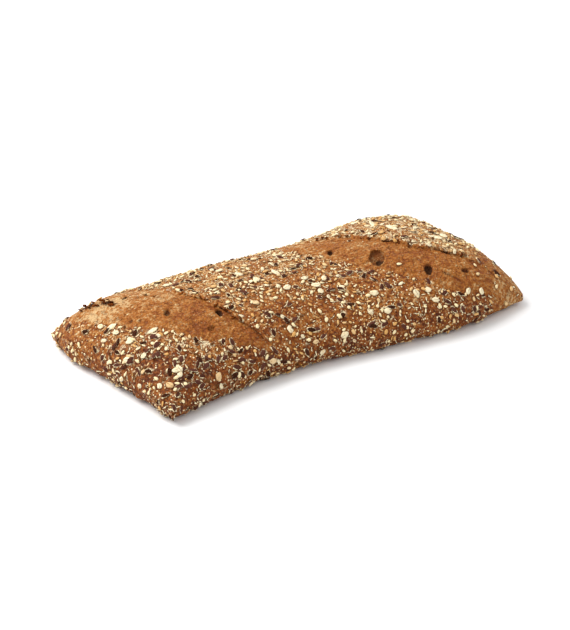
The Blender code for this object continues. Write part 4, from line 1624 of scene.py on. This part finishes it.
class LOAF_OT_torn(bpy.types.Operator):
    """Raise scraps of torn crust along the lips and the tear"""

    bl_idname = "loaf.torn"
    bl_label = "Tear the lips"

    def execute(self, context):
        shards = [
            flake_mesh(f"shard {k}", corners=7, square=2.4,
                       curl=0.6 + 0.4 * k, jitter=0.28, seed=130 + k)
            for k in range(4)
        ]
        standing = standing_shards(surface_tree(crust_object()))
        scatter("torn_crust", TORN_GAP, shards, standing, torn_material(context.scene.loaf_crust))
        return {"FINISHED"}


class LOAF_OT_flakes(bpy.types.Operator):
    """Press oat flakes and bran flakes into the crust"""

    bl_idname = "loaf.flakes"
    bl_label = "Add the flakes"

    def execute(self, context):
        settings = context.scene.loaf_toppings
        crust = context.scene.loaf_crust
        laid = laid_by_hand("oat_flake", surface_tree(crust_object()), topping_places())
        oats = [
            flake_mesh(f"oat {k}", corners=10, square=2 + 0.6 * k,
                       curl=0.2 + 0.2 * k, jitter=0.13, seed=40 + k)
            for k in range(5)
        ]
        scatter("oat_flakes", settings.flake_gap, oats, laid, flake_material(settings, crust))
        bran = [
            flake_mesh(f"bran {k}", corners=9, square=2.0,
                       curl=0.8 + 0.5 * k, jitter=0.2, seed=60 + k)
            for k in range(4)
        ]
        scatter("bran_flakes", settings.bran_gap, bran, [], bran_material(settings, crust))
        return {"FINISHED"}


class LOAF_OT_seeds(bpy.types.Operator):
    """Press linseeds and sesame seeds into the crust"""

    bl_idname = "loaf.seeds"
    bl_label = "Add the seeds"

    def execute(self, context):
        settings = context.scene.loaf_toppings
        crust = context.scene.loaf_crust
        tree = surface_tree(crust_object())
        places = topping_places()
        linseeds = [
            rounded_mesh(f"linseed {k}", sides=8, rings=5, point=0.22,
                         jitter=0.05, seed=80 + k, husk=0.4)
            for k in range(5)
        ]
        laid = laid_by_hand("linseed", tree, places)
        scatter("linseeds", settings.linseed_gap, linseeds, laid, linseed_material(settings, crust))
        sesame = [
            rounded_mesh(f"sesame {k}", sides=6, rings=5, point=0.3,
                         jitter=0.07, seed=90 + k)
            for k in range(3)
        ]
        laid = laid_by_hand("sesame", tree, places)
        scatter("sesame_seeds", settings.sesame_gap, sesame, laid, sesame_material(settings, crust))
        return {"FINISHED"}


class LOAF_OT_grits(bpy.types.Operator):
    """Strew chaff and fine grits of maize, millet and broken seed over the crust"""

    bl_idname = "loaf.grits"
    bl_label = "Strew the grits"

    def execute(self, context):
        settings = context.scene.loaf_toppings
        crust = context.scene.loaf_crust
        slivers = [
            flake_mesh(f"sliver {k}", corners=6, square=2.0,
                       curl=1.5 + k, jitter=0.15, seed=110 + k)
            for k in range(4)
        ]
        scatter("chaff", settings.chaff_gap, slivers, [], chaff_material(settings, crust))
        grits = [
            rounded_mesh(f"grit {k}", sides=5, rings=3, point=0.1,
                         jitter=0.25, seed=100 + k)
            for k in range(4)
        ]
        scatter("grits", settings.grit_gap, grits, [], grit_material(settings, crust))
        return {"FINISHED"}


class LOAF_OT_dust(bpy.types.Operator):
    """Mark where flour clings to the crust round the dark seeds, and the painted shade round the pale
    ones
    """

    bl_idname = "loaf.dust"
    bl_label = "Dust and shade the crust"

    def execute(self, context):
        crust = crust_object().data
        crust_points = positions(crust)
        for mark, (reach, pieces) in NEIGHBOURS.items():
            grains = np.concatenate([positions(bpy.data.objects[name].data) for name in pieces])
            near = KDTree(len(grains))
            for k, point in enumerate(grains):
                near.insert(point, k)
            near.balance()
            far = np.array([near.find(point)[2] for point in crust_points])
            values = ease(reach, 0.2 * reach, far).astype(np.float32)
            crust.attributes[mark].data.foreach_set("value", values)
        return {"FINISHED"}


def stage_vectors(settings):
    """Which way the camera's right, up and back point."""
    turn, rise = settings.azimuth, settings.elevation
    back = Vector(
        (math.sin(turn) * math.cos(rise), -math.cos(turn) * math.cos(rise), math.sin(rise))
    )
    right = Vector((math.cos(turn), math.sin(turn), 0))
    return right, back.cross(right), back


class LOAF_OT_stage(bpy.types.Operator):
    """Set the pale floor, the soft light and the camera"""

    bl_idname = "loaf.stage"
    bl_label = "Set the stage"

    def execute(self, context):
        settings = context.scene.loaf_stage
        scene = context.scene
        floor_mesh = bpy.data.meshes.new("floor")
        bm = bmesh.new()
        bmesh.ops.create_grid(bm, x_segments=4, y_segments=4, size=FLOOR_SIZE / 2)
        bm.to_mesh(floor_mesh)
        bm.free()
        floor = bpy.data.objects.new("floor", floor_mesh)
        scene.collection.objects.link(floor)
        made, _, inputs = new_material("pale floor", 0.7, 0.2)
        inputs["Base Color"].default_value = opaque(settings.floor)
        floor.data.materials.append(made)

        world = bpy.data.worlds.new("soft white")
        world.use_nodes = True
        background = world.node_tree.nodes["Background"]
        background.inputs["Color"].default_value = (1, 1, 1, 1)
        background.inputs["Strength"].default_value = settings.sky
        scene.world = world

        light = bpy.data.lights.new("key", "AREA")
        light.size = KEY_SIZE
        light.energy = settings.key_power
        key = bpy.data.objects.new("key", light)
        key.location = KEY_PLACE
        key.rotation_euler = (-KEY_PLACE).to_track_quat("-Z", "Y").to_euler()
        scene.collection.objects.link(key)

        lens = bpy.data.cameras.new("camera")
        lens.lens = settings.lens
        camera = bpy.data.objects.new("camera", lens)
        right, up, back = stage_vectors(settings)
        turned = Matrix((right, up, back)).transposed().to_4x4()
        camera.matrix_world = Matrix.Translation(AIM + back * settings.distance) @ turned
        scene.collection.objects.link(camera)
        scene.camera = camera
        scene.view_settings.view_transform = "Standard"
        return {"FINISHED"}


OPERATORS = (
    LOAF_OT_crust,
    LOAF_OT_torn,
    LOAF_OT_flakes,
    LOAF_OT_seeds,
    LOAF_OT_grits,
    LOAF_OT_dust,
    LOAF_OT_stage,
)


class LOAF_PT_panel(bpy.types.Panel):
    """The steps that make the loaf, in their order"""

    bl_idname = "LOAF_PT_panel"
    bl_label = "Seeded loaf"
    bl_space_type = "VIEW_3D"
    bl_region_type = "UI"
    bl_category = "Loaf"

    def draw(self, context):
        for operator in OPERATORS:
            self.layout.operator(operator.bl_idname)


GROUPS = {
    "loaf_crust": CrustSettings,
    "loaf_toppings": ToppingSettings,
    "loaf_stage": StageSettings,
}


def register():
    """Tell Blender of the settings, the steps and the panel."""
    for made in (*GROUPS.values(), *OPERATORS, LOAF_PT_panel):
        bpy.utils.register_class(made)
    for name, group in GROUPS.items():
        setattr(bpy.types.Scene, name, bpy.props.PointerProperty(type=group))


def unregister():
    """Take back what register told."""
    for name in GROUPS:
        delattr(bpy.types.Scene, name)
    for made in (LOAF_PT_panel, *OPERATORS, *GROUPS.values()):
        bpy.utils.unregister_class(made)


def main():
    """Make the loaf and its stage."""
    register()
    bpy.ops.loaf.crust()
    bpy.ops.loaf.torn()
    bpy.ops.loaf.flakes()
    bpy.ops.loaf.seeds()
    bpy.ops.loaf.grits()
    bpy.ops.loaf.dust()
    bpy.ops.loaf.stage()


if __name__ == "__main__":
    main()
